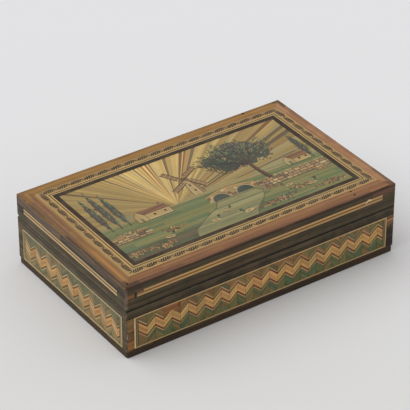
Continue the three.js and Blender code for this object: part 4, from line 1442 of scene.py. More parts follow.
@dataclass
class OrnamentBand:
    """The light band round the picture, with a running scroll in dark straw."""

    card: FinishCard
    unit: float = 13.4
    outer_line: float = 0.9
    blade: float = 1.25
    blade_tip: float = 0.35
    blade_steps: int = 6
    bend: float = 0.4
    spot_drift: float = 0.15
    turn_drift: float = 0.04
    side_levels: tuple[float, ...] = (1.12, 1, 0.88, 1)
    blades: tuple[Spot, ...] = (
        (-4.3, 3.6, 0.7), (-2.3, 5, 0.5), (-0.2, 5.4, 0.36), (1.9, 5, 0.42), (3.9, 3.7, 0.65)
    )
    vine: tuple[Point, ...] = ((-5.6, -0.7), (-4, -1.7), (-1.6, -1.4), (0.8, -0.3), (3, 0.5), (4.8, 1.8))
    vine_widths: tuple[float, ...] = (0.3, 1, 1, 0.9, 0.8, 0.3)
    dash: tuple[Point, ...] = ((5.5, 1.2), (6.5, 0.1), (7.5, -1.2))
    dash_widths: tuple[float, ...] = (0.4, 1.3, 0.4)

    def crescent(self, x: float, height: float, lean: float) -> list[Point]:
        """One upright crescent of a cluster.

        Args:
            x: Where its middle stands along the band.
            height: How tall it is.
            lean: How far it leans, in radians.

        Returns:
            Its outline.
        """
        shares = [k / self.blade_steps for k in range(self.blade_steps + 1)]
        swells = [sin(pi * share) for share in shares]
        tilt = height * sin(lean)
        spots = [(x + (a - 0.5) * tilt - self.bend * swell, (a - 0.5) * height) for a, swell in zip(shares, swells)]
        return stroke(spots, [self.blade_tip + (self.blade - self.blade_tip) * swell**0.7 for swell in swells])

    def cluster(self) -> list[list[Point]]:
        """The dark pieces of one unit: crescents joined by a vine, then a dash before the next unit."""
        crescents = [self.crescent(*blade) for blade in self.blades]
        return [*crescents, stroke(self.vine, self.vine_widths), stroke(self.dash, self.dash_widths)]

    def build(self) -> None:
        """Builds the band's straws and its scrolls."""
        area = Area.of_node("lid_top_ornament_band")
        width = Area.of_node("lid_top_double_line").left - area.left - TOP_GAP
        middle = 0.5 * (self.outer_line + width)
        sheet, shapes = ChipSheet(seed=31), self.cluster()
        rows = ((0, self.outer_line, TOP_LINE_TINT), (self.outer_line, middle, BAND_TINT), (middle, width, BAND_TINT))
        for start, end, tint in rows:
            for (outline, grain), level in zip(mitred(area, start + TOP_JOINT, end - TOP_JOINT), self.side_levels):
                sheet.add(outline, area.inner, area.outer - TOP_GAP, grain, lit(tint, level), vary=0.09, crown=0.08)
        for start, end in edges(area.inset(middle).corners()):
            angle, way = heading(start, end), Vector(end) - Vector(start)
            ahead, count = way.normalized(), round(way.length / self.unit)
            for n in range(count):
                drift = Vector((ahead.y, -ahead.x)) * sheet.rng.uniform(-self.spot_drift, self.spot_drift)
                spot = Vector(start) + way * ((n + 0.5) / count) + drift
                turn = Matrix.Rotation(angle + sheet.rng.uniform(-self.turn_drift, self.turn_drift), 2)
                for shape in shapes:
                    outline = [tuple(turn @ Vector(point) + spot) for point in shape]
                    sheet.add(outline, area.outer - 0.2, area.outer, angle, SCROLL_TINT, vary=0.4)
        sheet.build("ornament_band", TOP_PLACE, self.card.chips, "lid", "ornament_straw", "lid_top_ornament_band")


@dataclass
class LidTop:
    """The lid's upper face: red border, ornament band, double line, black frame and picture."""

    card: FinishCard
    line: float = 1.2
    core_depth: float = 0.08
    frame_straws: int = 2

    def build_lines(self) -> None:
        """Builds the two light lines with the brown one between them."""
        area = Area.of_node("lid_top_double_line")
        sheet = ChipSheet(seed=51)
        for k, tint in enumerate((TOP_LINE_TINT, TOP_CORE_TINT, TOP_LINE_TINT)):
            top = area.outer - (k % 2) * self.core_depth
            for outline, grain in mitred(area, k * self.line + TOP_JOINT, (k + 1) * self.line - TOP_JOINT):
                sheet.add(outline, area.inner, top, grain, tint, vary=0.1, crown=0.1)
        sheet.build("double_line", TOP_PLACE, self.card.chips, "lid", "light_straw", "lid_top_double_line")

    def build_frame(self) -> None:
        """Builds the black frame, two straws wide."""
        area = Area.of_node("lid_top_black_frame")
        straw = (Area.of_node("lid_top_picture").left - area.left - TOP_GAP) / self.frame_straws
        sheet = ChipSheet(seed=61)
        for k in range(self.frame_straws):
            for outline, grain in mitred(area, k * straw + TOP_JOINT, (k + 1) * straw - TOP_JOINT):
                sheet.add(outline, area.inner, area.outer, grain, FRAME_TINT, vary=0.2, crown=0.15)
        sheet.build("black_frame", TOP_PLACE, self.card.chips, "lid", "black_straw", "lid_top_black_frame")

    def build(self) -> None:
        """Builds everything on the lid's upper face."""
        for side in Side:
            dress(f"lid_{side.value}_border", self.card.border[side])
        OrnamentBand(self.card).build()
        self.build_lines()
        self.build_frame()
        sheet = ChipSheet(seed=71)
        Picture(Area.of_node("lid_top_picture"), sheet, 0).lay()
        sheet.build("straw_picture", TOP_PLACE, self.card.picture, "lid", "picture_straw", "lid_top_picture")


# The made-up picture


@dataclass(frozen=True)
class Motif:
    """Something laid in chips, measured in millimetres from the picture's lower left corner."""

    area: Area
    sheet: ChipSheet
    layer: int

    @property
    def rng(self) -> Random:
        """The sheet's own row of random numbers."""
        return self.sheet.rng

    def chip(self, outline: Outline, layer: int, grain: float, tint: Colour, vary: float = 0.12) -> None:
        """Lays one chip, trimmed at the picture's edge.

        Args:
            outline: Its outline.
            layer: How many layers above the motif's first it lies.
            grain: The angle of its straw.
            tint: Its colour.
            vary: How far its colour may differ.
        """
        first_depth, layer_step, lift = 0.2, 0.03, 0.006
        moved = [(x + self.area.left, y + self.area.low) for x, y in outline]
        top = self.area.outer - first_depth + (self.layer + layer) * layer_step
        self.sheet.add(within(moved, self.area), self.area.inner, top, grain, tint, vary, lift=lift)

    def straws(self, outline: Outline, layer: int, grain: float, tints: Tints, width: float) -> None:
        """Fills a convex outline with straws laid side by side.

        Args:
            outline: The outline to fill.
            layer: How many layers above the motif's first they lie.
            grain: The straws' angle.
            tints: The colours to pick from.
            width: About how wide a straw is.
        """
        joint = 0.03
        across = (-sin(grain), cos(grain))
        shares = [x * across[0] + y * across[1] for x, y in outline]
        level, top = min(shares), max(shares)
        while level < top:
            high = level + width * self.rng.uniform(0.75, 1.25)
            strip = trimmed(outline, across, high - joint)
            strip = trimmed(strip, (-across[0], -across[1]), -level - joint)
            self.chip(strip, layer, grain, self.rng.choice(tints), 0.1)
            level = high

    def line(self, points: Outline, width: float | Sequence[float], layer: int, tint: Colour) -> None:
        """Lays a thin line through points, with one width for all of them or a width at each."""
        widths = [width] * len(points) if isinstance(width, (int, float)) else width
        self.chip(stroke(points, widths), layer, heading(points[0], points[-1]), tint, 0.15)


INK = (0.04, 0.028, 0.02)
BARK = (0.055, 0.038, 0.028)
DOOR_TINT = (0.14, 0.15, 0.075)
ARCH_TINT = (0.05, 0.06, 0.045)
SKY_TINTS = ((0.58, 0.39, 0.12), (0.68, 0.48, 0.165), (0.54, 0.36, 0.12), (0.62, 0.44, 0.165), (0.48, 0.3, 0.1))
SKY_ACCENTS = ((0.29, 0.14, 0.06), (0.22, 0.15, 0.075), (0.56, 0.43, 0.2))
HILL_TINTS = ((0.3, 0.24, 0.1), (0.25, 0.24, 0.12), (0.34, 0.24, 0.1))
FIELD_TINTS = (
    (0.155, 0.172, 0.066), (0.185, 0.19, 0.072), (0.13, 0.165, 0.066), (0.22, 0.185, 0.066), (0.11, 0.15, 0.07)
)
SHADE_TINTS = ((0.085, 0.1, 0.05), (0.1, 0.095, 0.045), (0.12, 0.085, 0.045))
WATER_TINTS = ((0.21, 0.2, 0.09), (0.25, 0.23, 0.1), (0.175, 0.18, 0.085), (0.31, 0.265, 0.12))
SAIL_TINTS = ((0.3, 0.17, 0.08), (0.25, 0.135, 0.06))
WALL_TINTS = ((0.42, 0.29, 0.11), (0.38, 0.26, 0.1), (0.45, 0.33, 0.15))
ROOF_TINTS = ((0.2, 0.1, 0.055), (0.16, 0.08, 0.045), (0.24, 0.11, 0.05))
STONE_TINTS = ((0.46, 0.33, 0.15), (0.36, 0.24, 0.1), (0.28, 0.18, 0.09), (0.46, 0.27, 0.12), (0.18, 0.1, 0.055))
LEAF_TINTS = ((0.17, 0.18, 0.085), (0.13, 0.15, 0.075), (0.22, 0.21, 0.105), (0.1, 0.125, 0.07))
DEEP_LEAF_TINTS = ((0.06, 0.055, 0.04), (0.075, 0.06, 0.05), (0.05, 0.065, 0.045), (0.085, 0.055, 0.045))
FLOWER_TINTS = ((0.36, 0.13, 0.06), (0.44, 0.27, 0.09), (0.3, 0.1, 0.06))


@dataclass(frozen=True)
class Sky(Motif):
    """Rays of golden straw that fan out from a low point."""

    focus: Point
    low: float
    thinnest: float = 0.6
    widest: float = 2.1
    accents: float = 0.1
    dimming_left: float = 0.48
    dimming_right: float = 0.44
    left_cap: float = 0.66
    falloff: float = 1.5
    dark_rays_right: float = 2.2
    reach: float = 260.0
    overlap: float = 0.02

    def lay(self) -> None:
        """Lays the rays."""
        rng, angle = self.rng, -self.overlap
        while angle < pi + self.overlap:
            step = radians(rng.uniform(self.thinnest, self.widest))
            right = cos(angle) > 0
            chance = self.accents * (self.dark_rays_right if right else 1)
            tint = rng.choice(SKY_ACCENTS if rng.random() < chance else SKY_TINTS)
            dimming, cap = (self.dimming_right, 1) if right else (self.dimming_left, self.left_cap)
            level = 1 - dimming * min(1.0, abs(cos(angle)) / cap) ** self.falloff
            x, y = self.focus
            turns = (angle, angle + step)
            ray = [self.focus, *((x + self.reach * cos(t), y + self.reach * sin(t)) for t in turns)]
            self.chip(trimmed(ray, (0, -1), -self.low), 0, angle + 0.5 * step, lit(tint, level))
            angle += step


@dataclass(frozen=True)
class Tree(Motif):
    """A broad tree: a forked trunk under a crown of small leaves, dark below and green above."""

    root: Point
    crown: Point
    half_width: float
    half_height: float
    leaves: int = 640
    lean: float = 0.0
    clumps: int = 9
    clump_size: float = 0.36
    boughs: tuple[Point, ...] = ((-0.72, 0.05), (-0.4, 0.45), (0.02, 0.6), (0.42, 0.4), (0.75, 0))

    def at(self, across: float, up: float) -> Point:
        """A place in the crown, in shares of its half width and half height."""
        return (self.crown[0] + across * self.half_width, self.crown[1] + up * self.half_height)

    def lay(self) -> None:
        """Lays the shade inside the crown, its leaves, and the trunk with its boughs."""
        rng, spots = self.rng, []
        for k in range(self.clumps):
            turn, reach = 2 * pi * k / self.clumps + rng.uniform(-0.2, 0.2), 0.52 if k % 2 else 0.62
            spots.append(self.at(reach * cos(turn), reach * sin(turn)))
        for x, y in (*spots, self.crown):
            outline = [(x + 1.25 * a, y + b) for a, b in disc((0, 0), self.clump_size * self.half_height, 9)]
            self.chip(outline, 0, rng.uniform(0, pi), rng.choice(DEEP_LEAF_TINTS), 0.15)
        for _ in range(self.leaves):
            turn, away = rng.uniform(0, 2 * pi), sqrt(rng.random())
            away *= 1 + 0.1 * sin(5 * turn) + 0.06 * sin(11 * turn)
            dx, dy = away * cos(turn), away * sin(turn)
            sunny = dy + 0.35 * dx + rng.uniform(-0.5, 0.5) > -0.1
            angle = QUARTER - 0.6 * dx + rng.uniform(-0.6, 0.6)
            outline = leaf(self.at(dx, dy), rng.uniform(2, 3.6), rng.uniform(0.9, 1.5), angle)
            layer = 1 + rng.randrange(2)
            self.chip(outline, layer, angle, rng.choice(LEAF_TINTS if sunny else DEEP_LEAF_TINTS), 0.2)
        self.lay_boughs()

    def lay_boughs(self) -> None:
        """Lays the trunk and five boughs."""
        x, y = self.root
        fork = fork_x, fork_y = x + self.lean, self.at(0, -0.75)[1]
        middle_x, middle_y = 0.5 * (x + fork_x) - 0.6, 0.5 * (y + fork_y)
        self.line([(x, y - 1), (middle_x, middle_y), fork], (5.2, 3.6, 3), 3, BARK)
        light = [(x + 0.9, y), (middle_x + 0.8, middle_y), fork]
        self.line(light, (0.7, 0.6, 0.4), 4, ROOF_TINTS[2])
        for tip_x, tip_y in (self.at(*bough) for bough in self.boughs):
            bend = (0.5 * (fork_x + tip_x) + 0.08 * (tip_y - fork_y), 0.45 * fork_y + 0.55 * tip_y - 1.2)
            self.line([fork, bend, (tip_x, tip_y)], (2.3, 1.3, 0.4), 3, BARK)


@dataclass(frozen=True)
class Poplar(Motif):
    """A tall narrow tree."""

    root: Point
    height: float
    width: float = 7.5
    leaves: float = 1.3

    def lay(self) -> None:
        """Lays upward leaves on a dark spindle."""
        rng = self.rng
        x, y = self.root
        spindle = leaf((x, y + 2), self.height - 2, self.width, QUARTER)
        self.straws(spindle, 0, QUARTER, DEEP_LEAF_TINTS[:3], 1.3)
        self.line([(x, y - 1), (x, y + 5)], (1.2, 0.8), 1, BARK)
        for k in range(int(self.height * self.leaves)):
            share = (k + 0.5) / (self.height * self.leaves)
            half = 0.46 * self.width * sin(pi * min(1.0, 0.16 + share * 0.84))
            aside = rng.uniform(-half, half)
            angle = QUARTER - 0.12 * aside + rng.uniform(-0.15, 0.15)
            outline = leaf((x + aside, y + 3 + share * (self.height - 6)), 3.6, 0.8, angle)
            tints = LEAF_TINTS if aside > -0.4 else DEEP_LEAF_TINTS
            self.chip(outline, 1, angle, rng.choice(tints), 0.2)


@dataclass(frozen=True)
class Cottage(Motif):
    """A low house with a gable end, a long roof and a chimney."""

    left: float
    low: float
    width: float
    height: float
    gable: float
    ink_width: float = 0.38

    def lay(self) -> None:
        """Lays the walls, roof, door, windows and outlines."""
        left, low = self.left, self.low
        top, right, split = low + self.height, left + self.width, left + self.gable
        peak = (left + 0.5 * self.gable, top + 0.62 * self.gable)
        self.straws(box(split, low, right - split, self.height), 0, 0, WALL_TINTS, 2.2)
        end = [(left, low), (split, low), (split, top), peak, (left, top)]
        self.straws(end, 0, QUARTER, WALL_TINTS, 2.2)
        roof = [(split - 0.6, top - 0.8), (right + 1, top - 0.8), (right - 1.5, peak[1]), peak]
        self.straws(roof, 1, 0.12, ROOF_TINTS, 1.9)
        self.straws(box(right - 6, peak[1] - 1, 2.4, 4.4), 1, 0, STONE_TINTS, 1.4)
        sill = low + 0.42 * self.height
        for x in (split + share * (right - split) for share in (0.3, 0.72)):
            self.chip(box(x, sill, 2, 2.8), 1, 0, INK)
            self.line([(x - 0.4, sill), (x + 2.4, sill)], 0.4, 2, LINE_TINT)
        self.chip(box(left + 0.34 * self.gable, low, 2.6, 5.2), 1, QUARTER, DOOR_TINT)
        for points in (
            [(left, low), (left, top), peak, (split, top)],
            [(split, low), (split, top)],
            [(split, top - 0.6), (right + 1, top - 0.6)],
            [(right, low), (right, top)],
            [(left, low), (right, low)],
        ):
            self.line(points, self.ink_width, 2, INK)


@dataclass(frozen=True)
class Windmill(Motif):
    """A tapering tower mill with four lattice sails."""

    foot: Point
    height: float
    sail: float = 21.0
    sail_width: float = 4.6
    heel: float = 4.0
    bars: int = 5
    turn: float = 0.5

    def lay(self) -> None:
        """Lays the tower, its cap and the sails."""
        x, y = self.foot
        top = y + self.height
        tower = [(x - 6, y), (x + 6, y), (x + 3.6, top), (x - 3.6, top)]
        self.straws(tower, 0, QUARTER, WALL_TINTS, 2.1)
        shade = [(x + 2, y), (x + 6, y), (x + 3.6, top), (x + 1.4, top)]
        self.straws(shade, 1, QUARTER, STONE_TINTS[1:3], 1.8)
        cap = [(x - 4.6, top - 0.4), (x + 4.6, top - 0.4), (x + 2.4, top + 4.2), (x - 2.4, top + 4.2)]
        self.straws(cap, 1, 0, ROOF_TINTS, 1.3)
        for level in (0.22, 0.58):
            self.chip(box(x - 1.6, y + level * self.height, 1.8, 2.4), 1, 0, INK)
        for points in ([tower[0], tower[3]], [tower[1], tower[2]]):
            self.line(points, 0.4, 2, INK)
        for k in range(4):
            self.lay_sail(Vector((x, top + 1)), self.turn + k * QUARTER)

    def lay_sail(self, hub: Vector, angle: float) -> None:
        """Lays one lattice sail on its arm.

        Args:
            hub: Where the arms meet.
            angle: The arm's angle.
        """
        along = Vector((cos(angle), sin(angle)))
        wide = Vector((-along.y, along.x)) * self.sail_width
        heel, tip = hub + along * self.heel, hub + along * self.sail
        self.line([tuple(hub), tuple(tip)], (1, 0.6), 4, INK)
        outline = [tuple(corner) for corner in (heel, tip, tip + wide, heel + wide)]
        self.straws(outline, 3, angle, SAIL_TINTS, 2.3)
        self.line([outline[3], outline[2]], 0.5, 4, INK)
        for n in range(self.bars):
            start = heel + (tip - heel) * (n / (self.bars - 1))
            self.line([tuple(start), tuple(start + wide)], 0.5, 4, WALL_TINTS[2])


@dataclass(frozen=True)
class Bridge(Motif):
    """A low stone bridge on two arches."""

    left: float
    low: float
    width: float
    rise: float
    arches: int = 2
    stones: int = 15
    courses: int = 4
    joint: float = 0.08

    def crown(self, x: float) -> float:
        """The height of the bridge's road above its foot at a place along it."""
        return self.rise * (0.62 + 0.38 * sin(pi * (x - self.left) / self.width))

    def lay(self) -> None:
        """Lays the courses of stone, then the arches with their rings, then the coping."""
        rng = self.rng
        step, span = self.width / self.stones, self.width / self.arches
        starts = [self.left + k * step for k in range(self.stones + 1)]
        for x in starts[:-1]:
            course = self.crown(x) / self.courses
            for k in range(self.courses):
                corner = x + (0.35 * step if k % 2 else 0) + self.joint, self.low + k * course + self.joint
                outline = box(*corner, step - 2 * self.joint, course - 2 * self.joint)
                self.chip(outline, 0, rng.choice((0, QUARTER)), rng.choice(STONE_TINTS), 0.15)
        for k in range(self.arches):
            middle, radius = self.left + (k + 0.5) * span, 0.33 * span
            turns = [pi * n / 10 for n in range(11)]
            arc = [(middle + radius * cos(t), self.low + 1.05 * radius * sin(t)) for t in turns]
            self.chip(arc, 2, 0, ARCH_TINT)
            self.line(arc, 1.3, 1, WALL_TINTS[2])
        road = [(x, self.low + self.crown(x)) for x in starts]
        self.line(road, 1.5, 1, WALL_TINTS[0])
        self.line([(x, y + 0.9) for x, y in road], 0.4, 2, INK)


@dataclass(frozen=True)
class StoneWall(Motif):
    """A dry field wall of uneven stones."""

    left: float
    right: float
    low: float
    height: float
    courses: int = 3
    coping: float = 2.6

    def lay(self) -> None:
        """Lays the dark backing, then the stones course by course, then the upright coping stones."""
        rng = self.rng
        backing = box(self.left, self.low - 0.4, self.right - self.left, self.height + 0.4)
        self.chip(backing, 0, 0, BARK)
        course = self.height / self.courses
        for low in (self.low + k * course for k in range(self.courses)):
            x = self.left + rng.uniform(-2, 0)
            while x < self.right:
                long = rng.uniform(3.6, 8)
                outline = [
                    (x + 0.35, low + 0.25 + rng.uniform(0, 0.3)),
                    (x + long - 0.35, low + 0.25 + rng.uniform(0, 0.3)),
                    (x + long - 0.4, low + course - rng.uniform(0.2, 0.5)),
                    (x + 0.4, low + course - rng.uniform(0.2, 0.5)),
                ]
                self.chip(outline, 1, 0, rng.choice(STONE_TINTS), 0.18)
                x += long
        x = self.left
        while x < self.right:
            outline = leaf((x, self.low + self.height - 0.2), rng.uniform(2.4, 3.4), 2.3, QUARTER)
            self.chip(outline, 1, QUARTER, rng.choice(STONE_TINTS[:4]), 0.18)
            x += self.coping


@dataclass(frozen=True)
class Duck(Motif):
    """A duck on the water or the grass."""

    spot: Point
    size: float
    faces: int

    def at(self, *spots: Point) -> list[Point]:
        """Places on the duck, ahead of its middle and above it, in shares of its size."""
        x, y = self.spot
        return [(x + self.faces * along * self.size, y + up * self.size) for along, up in spots]

    def lay(self) -> None:
        """Lays the body, wing, neck, head and beak."""
        body = self.at((-1.3, 0.5), (-0.7, 0), (0.5, -0.05), (1, 0.35), (0.6, 0.75), (-0.6, 0.8))
        self.chip(body, 0, 0.15, WALL_TINTS[2], 0.15)
        self.chip(self.at((-1, 0.55), (0.2, 0.2), (0.45, 0.6)), 1, 0.4, ROOF_TINTS[2])
        neck = self.at((0.7, 0.5), (1, 1), (1.1, 1.35))
        self.line(neck, [share * self.size for share in (0.5, 0.36, 0.3)], 1, LEAF_TINTS[3])
        self.chip(disc(self.at((1.15, 1.4))[0], 0.34 * self.size), 2, 0, DEEP_LEAF_TINTS[2])
        self.chip(self.at((1.4, 1.5), (1.4, 1.2), (1.95, 1.3)), 1, 0, FLOWER_TINTS[1])
        self.line(self.at((-1.3, 0.45), (-0.7, -0.05), (0.5, -0.1)), 0.3, 1, INK)


@dataclass(frozen=True)
class Picture(Motif):
    """A made-up riverside in straw: poplars, cottages, a windmill, a bridge, a field wall and one broad tree."""

    horizon: float = 49.0
    field_straw: float = 2.4
    joint: float = 0.03
    left_bank: tuple[Point, ...] = ((104, 35), (98, 27), (80, 18), (66, 9), (62, 0))
    right_bank: tuple[Point, ...] = ((140, 35), (146, 27), (140, 18), (128, 9), (122, 0))
    ripples: tuple[Spot, ...] = (
        (96, 22, 14), (112, 12, 18), (88, 6, 16), (118, 30, 12), (108, 3, 12)
    )
    tufts: tuple[Spot, ...] = (
        (10, 6, 12), (34, 4, 14), (52, 20, 8), (150, 6, 13), (176, 13, 9),
        (204, 5, 12), (14, 34, 9), (158, 27, 8), (206, 27, 7),
    )
    poplars: tuple[Point, ...] = ((9, 56), (17.5, 64), (26, 54), (213, 44))
    ducks: tuple[tuple[Point, float, int], ...] = (
        ((88, 11), 4.2, 1), ((104, 18), 3.6, 1), ((118, 7), 4.6, -1), ((44, 12), 4.4, 1), ((168, 20), 4.2, -1),
        ((187, 12), 5, 1),
    )

    def lay_land(self) -> None:
        """Lays the hills and the meadow, darker towards the lower left."""
        width, rng = self.area.right - self.area.left, self.rng
        hills = (
            (-0.06, [(0, 46), (0, 55), (24, 58.5), (52, 55), (76, 46)]),
            (0.05, [(58, 46), (92, 56), (116, 57.5), (142, 54), (168, 46)]),
            (-0.03, [(128, 46), (168, 57), (196, 60), (width, 57), (width, 46)]),
        )
        for grain, hill in hills:
            self.straws(hill[::-1], 1, grain, HILL_TINTS, 2.6)
        level = 0
        while level < self.horizon:
            high = min(level + self.field_straw, self.horizon)
            cuts = sorted([0, width, *(rng.uniform(0, width) for _ in range(3))])
            for a, b in zip(cuts, cuts[1:]):
                tint = rng.choice(SHADE_TINTS if level < 14 and a < 60 else FIELD_TINTS)
                strip = Area(a, b, level, high).inset(self.joint)
                self.chip(strip.corners(), 2, 0, tint)
            level = high

    def lay_stream(self) -> None:
        """Lays the stream that widens from the bridge to the picture's lower edge."""
        banks = self.left_bank, self.right_bank
        for (la, lb), (ra, rb) in zip(*(zip(bank, bank[1:]) for bank in banks)):
            self.straws([lb, rb, ra, la], 3, 0, WATER_TINTS, 2.1)
        for bank in banks:
            self.line(bank, 0.7, 4, SHADE_TINTS[1])
        for x, y, long in self.ripples:
            self.line([(x, y), (x + 0.5 * long, y + 0.3), (x + long, y)], (0.2, 0.5, 0.2), 4, SHADE_TINTS[0])

    def lay_tufts(self) -> None:
        """Lays bushes, grass and flowers along the front."""
        rng = self.rng
        for x, y, half in self.tufts:
            for _ in range(int(half * 6)):
                root = (x + rng.gauss(0, 0.5 * half), y + rng.gauss(0, 0.13 * half))
                angle = QUARTER + rng.uniform(-0.8, 0.8)
                tint = rng.choice(rng.choice((SAIL_TINTS, DEEP_LEAF_TINTS, WALL_TINTS[:2], SHADE_TINTS)))
                self.chip(leaf(root, rng.uniform(2.4, 5), rng.uniform(0.9, 1.7), angle), 6, angle, tint, 0.2)
            for _ in range(int(half * 0.55)):
                spot = (x + rng.gauss(0, 0.5 * half), y + 2.2 + rng.gauss(0, 1.2))
                for angle in (0.4 * pi * petal for petal in range(5)):
                    self.chip(leaf(spot, 1.15, 0.85, angle), 8, angle, rng.choice(FLOWER_TINTS), 0.15)
                self.chip(disc(spot, 0.35, 6), 9, 0, INK)

    def lay(self) -> None:
        """Lays the picture from the sky down to the flowers in front."""
        ground, shore = (self.area, self.sheet), self.horizon - 3
        width = self.area.right - self.area.left
        Sky(*ground, 0, (74, self.horizon - 1), shore).lay()
        self.lay_land()
        self.lay_stream()
        for motif in (
            *(Poplar(*ground, 3, (x, shore), height) for x, height in self.poplars),
            Cottage(*ground, 5, 33, shore - 3, 34, 9.5, 10),
            Cottage(*ground, 4, 186, shore, 25, 8, 8.5),
            Windmill(*ground, 3, (100, self.horizon + 4), 24),
            Bridge(*ground, 4, 98, 35, 48, 13.5),
            StoneWall(*ground, 5, 147, width, 29, 10.5),
            StoneWall(*ground, 5, 0, 34, 26, 8.5),
            Tree(*ground, 5, (163, 41), (158, 85), 38, 22, lean=-3),
            *(Duck(*ground, 6, *duck) for duck in self.ducks),
        ):
            motif.lay()
        self.lay_tufts()


# The whole lid


@dataclass
class Lid:
    """The lid: a board on finger-jointed walls, under dark straw with a double line, and lined inside."""

    card: FinishCard
    late_start: float = 6.5
    lifted_at: float = 228.0
    soften: float = 0.2

    def build(self) -> None:
        """Builds and dresses the whole lid."""
        dress("lid_board", self.card.lid_wall(Side.FRONT), self.soften)
        dress("lid_lining", self.card.paper)
        own = {
            Side.FRONT: {"late_start": self.late_start, "lifted_at": self.lifted_at},
            Side.LEFT: {"line_tint": LEFT_DUST_AND_SHEEN_LINE_TINT, "core_tint": LEFT_DUST_AND_SHEEN_CORE_TINT},
        }
        for k, side in enumerate(Side):
            dress(f"lid_{side.value}_wall", self.card.lid_wall(side), self.soften)
            dress(f"lid_{side.value}_skin", self.card.lid_dark[side])
            Stringing(self.card, side, 200 + k, **own.get(side, {})).build()
        LidTop(self.card).build()


# Fittings


@dataclass(frozen=True)
class Head:
    """A low domed screw or nail head, with a driver's slot where it has one, in millimetres."""

    radius: float
    rise: float
    slot: float = 0.0
    rings: int = 5
    sides: int = 20

    def sunk(self, y: float, level: float) -> float:
        """A point's height, lowered where the slot is."""
        return level - 0.6 * self.rise if abs(y) < self.slot and level > 0.4 * self.rise else level

    def make(self, name: str, place: Matrix, material: Material, body: str) -> None:
        """Makes one head.

        Args:
            name: The new piece's name.
            place: Where it stands, from millimetres to metres.
            material: Its finish.
            body: The CAD body that carries it.
        """
        turns = [QUARTER * ring / self.rings for ring in range(self.rings)]
        rows = [(self.rise * sin(turn), disc((0, 0), self.radius * cos(turn), self.sides)) for turn in turns]
        points = [(x, y, level) for level, ring in rows for x, y in ring] + [(0, 0, self.rise)]
        rings = [range(start, start + self.sides) for start in range(0, len(points) - 1, self.sides)]
        faces = [list(rings[0])[::-1]]
        for lower, upper in zip(rings, rings[1:]):
            faces += [[a, b, d, c] for (a, b), (c, d) in zip(edges(lower), edges(upper))]
        faces += [[a, b, len(points) - 1] for a, b in edges(rings[-1])]
        mesh = bpy.data.meshes.new(name)
        mesh.from_pydata([place @ Vector((x, y, self.sunk(y, z))) for x, y, z in points], [], faces)
        mesh.materials.append(material)
        settle(placed(name, mesh), body, "hinge_brass")


@dataclass
class Fittings:
    """The two butt hinges with their screws, and the nails in the border."""

    card: FinishCard
    screw: Head = Head(0.95, 0.14, 0.25)
    nail: Head = Head(1.1, 0.18)
    screws_per_leaf: int = 3
    screw_spread: float = 9.5
    screw_inset: float = 1.25
    screw_sink: float = 0.02
    nail_sink: float = 0.05
    nail_spots: tuple[Point, ...] = ((96, -72.5), (95.5, -78.6), (-130.4, -78.4), (95, 81.2))

    def drive_screws(self, hinge: str, body: str) -> None:
        """Sets the screws of one leaf, with their heads flush in its open face.

        Args:
            hinge: Which hinge it is.
            body: The body that the leaf is screwed to, by which the leaf is named.
        """
        low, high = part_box(f"hinge_{hinge}_{body}_leaf")
        faces_up = body == "base"
        level = SEAM_LEVEL - self.screw_sink if faces_up else SEAM_LEVEL + 0.4 + self.screw_sink
        flip = Matrix.Identity(4) if faces_up else Matrix.Rotation(pi, 4, "X")
        middle = 0.5 * (low.x + high.x) / MM
        for k in range(self.screws_per_leaf):
            spot = Vector((middle + (k - 1) * self.screw_spread, low.y / MM + self.screw_inset, level))
            place = TOP_PLACE @ Matrix.Translation(spot) @ flip @ Matrix.Rotation(0.7 * (k + 1), 4, "Z")
            self.screw.make(f"screw_{hinge}_{body}_{k + 1}", place, self.card.brass, body)

    def build(self) -> None:
        """Dresses the hinges and sets the screws and nails."""
        for hinge in ("left", "right"):
            for part in ("base_leaf", "lid_leaf", "pin"):
                dress(f"hinge_{hinge}_{part}", self.card.brass)
            for body in ("base", "lid"):
                self.drive_screws(hinge, body)
        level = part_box("lid_top_picture")[1].z / MM - self.nail_sink
        for k, (x, y) in enumerate(self.nail_spots):
            place = TOP_PLACE @ Matrix.Translation((x, y, level))
            self.nail.make(f"border_nail_{k + 1}", place, self.card.iron, "lid")


# The tray


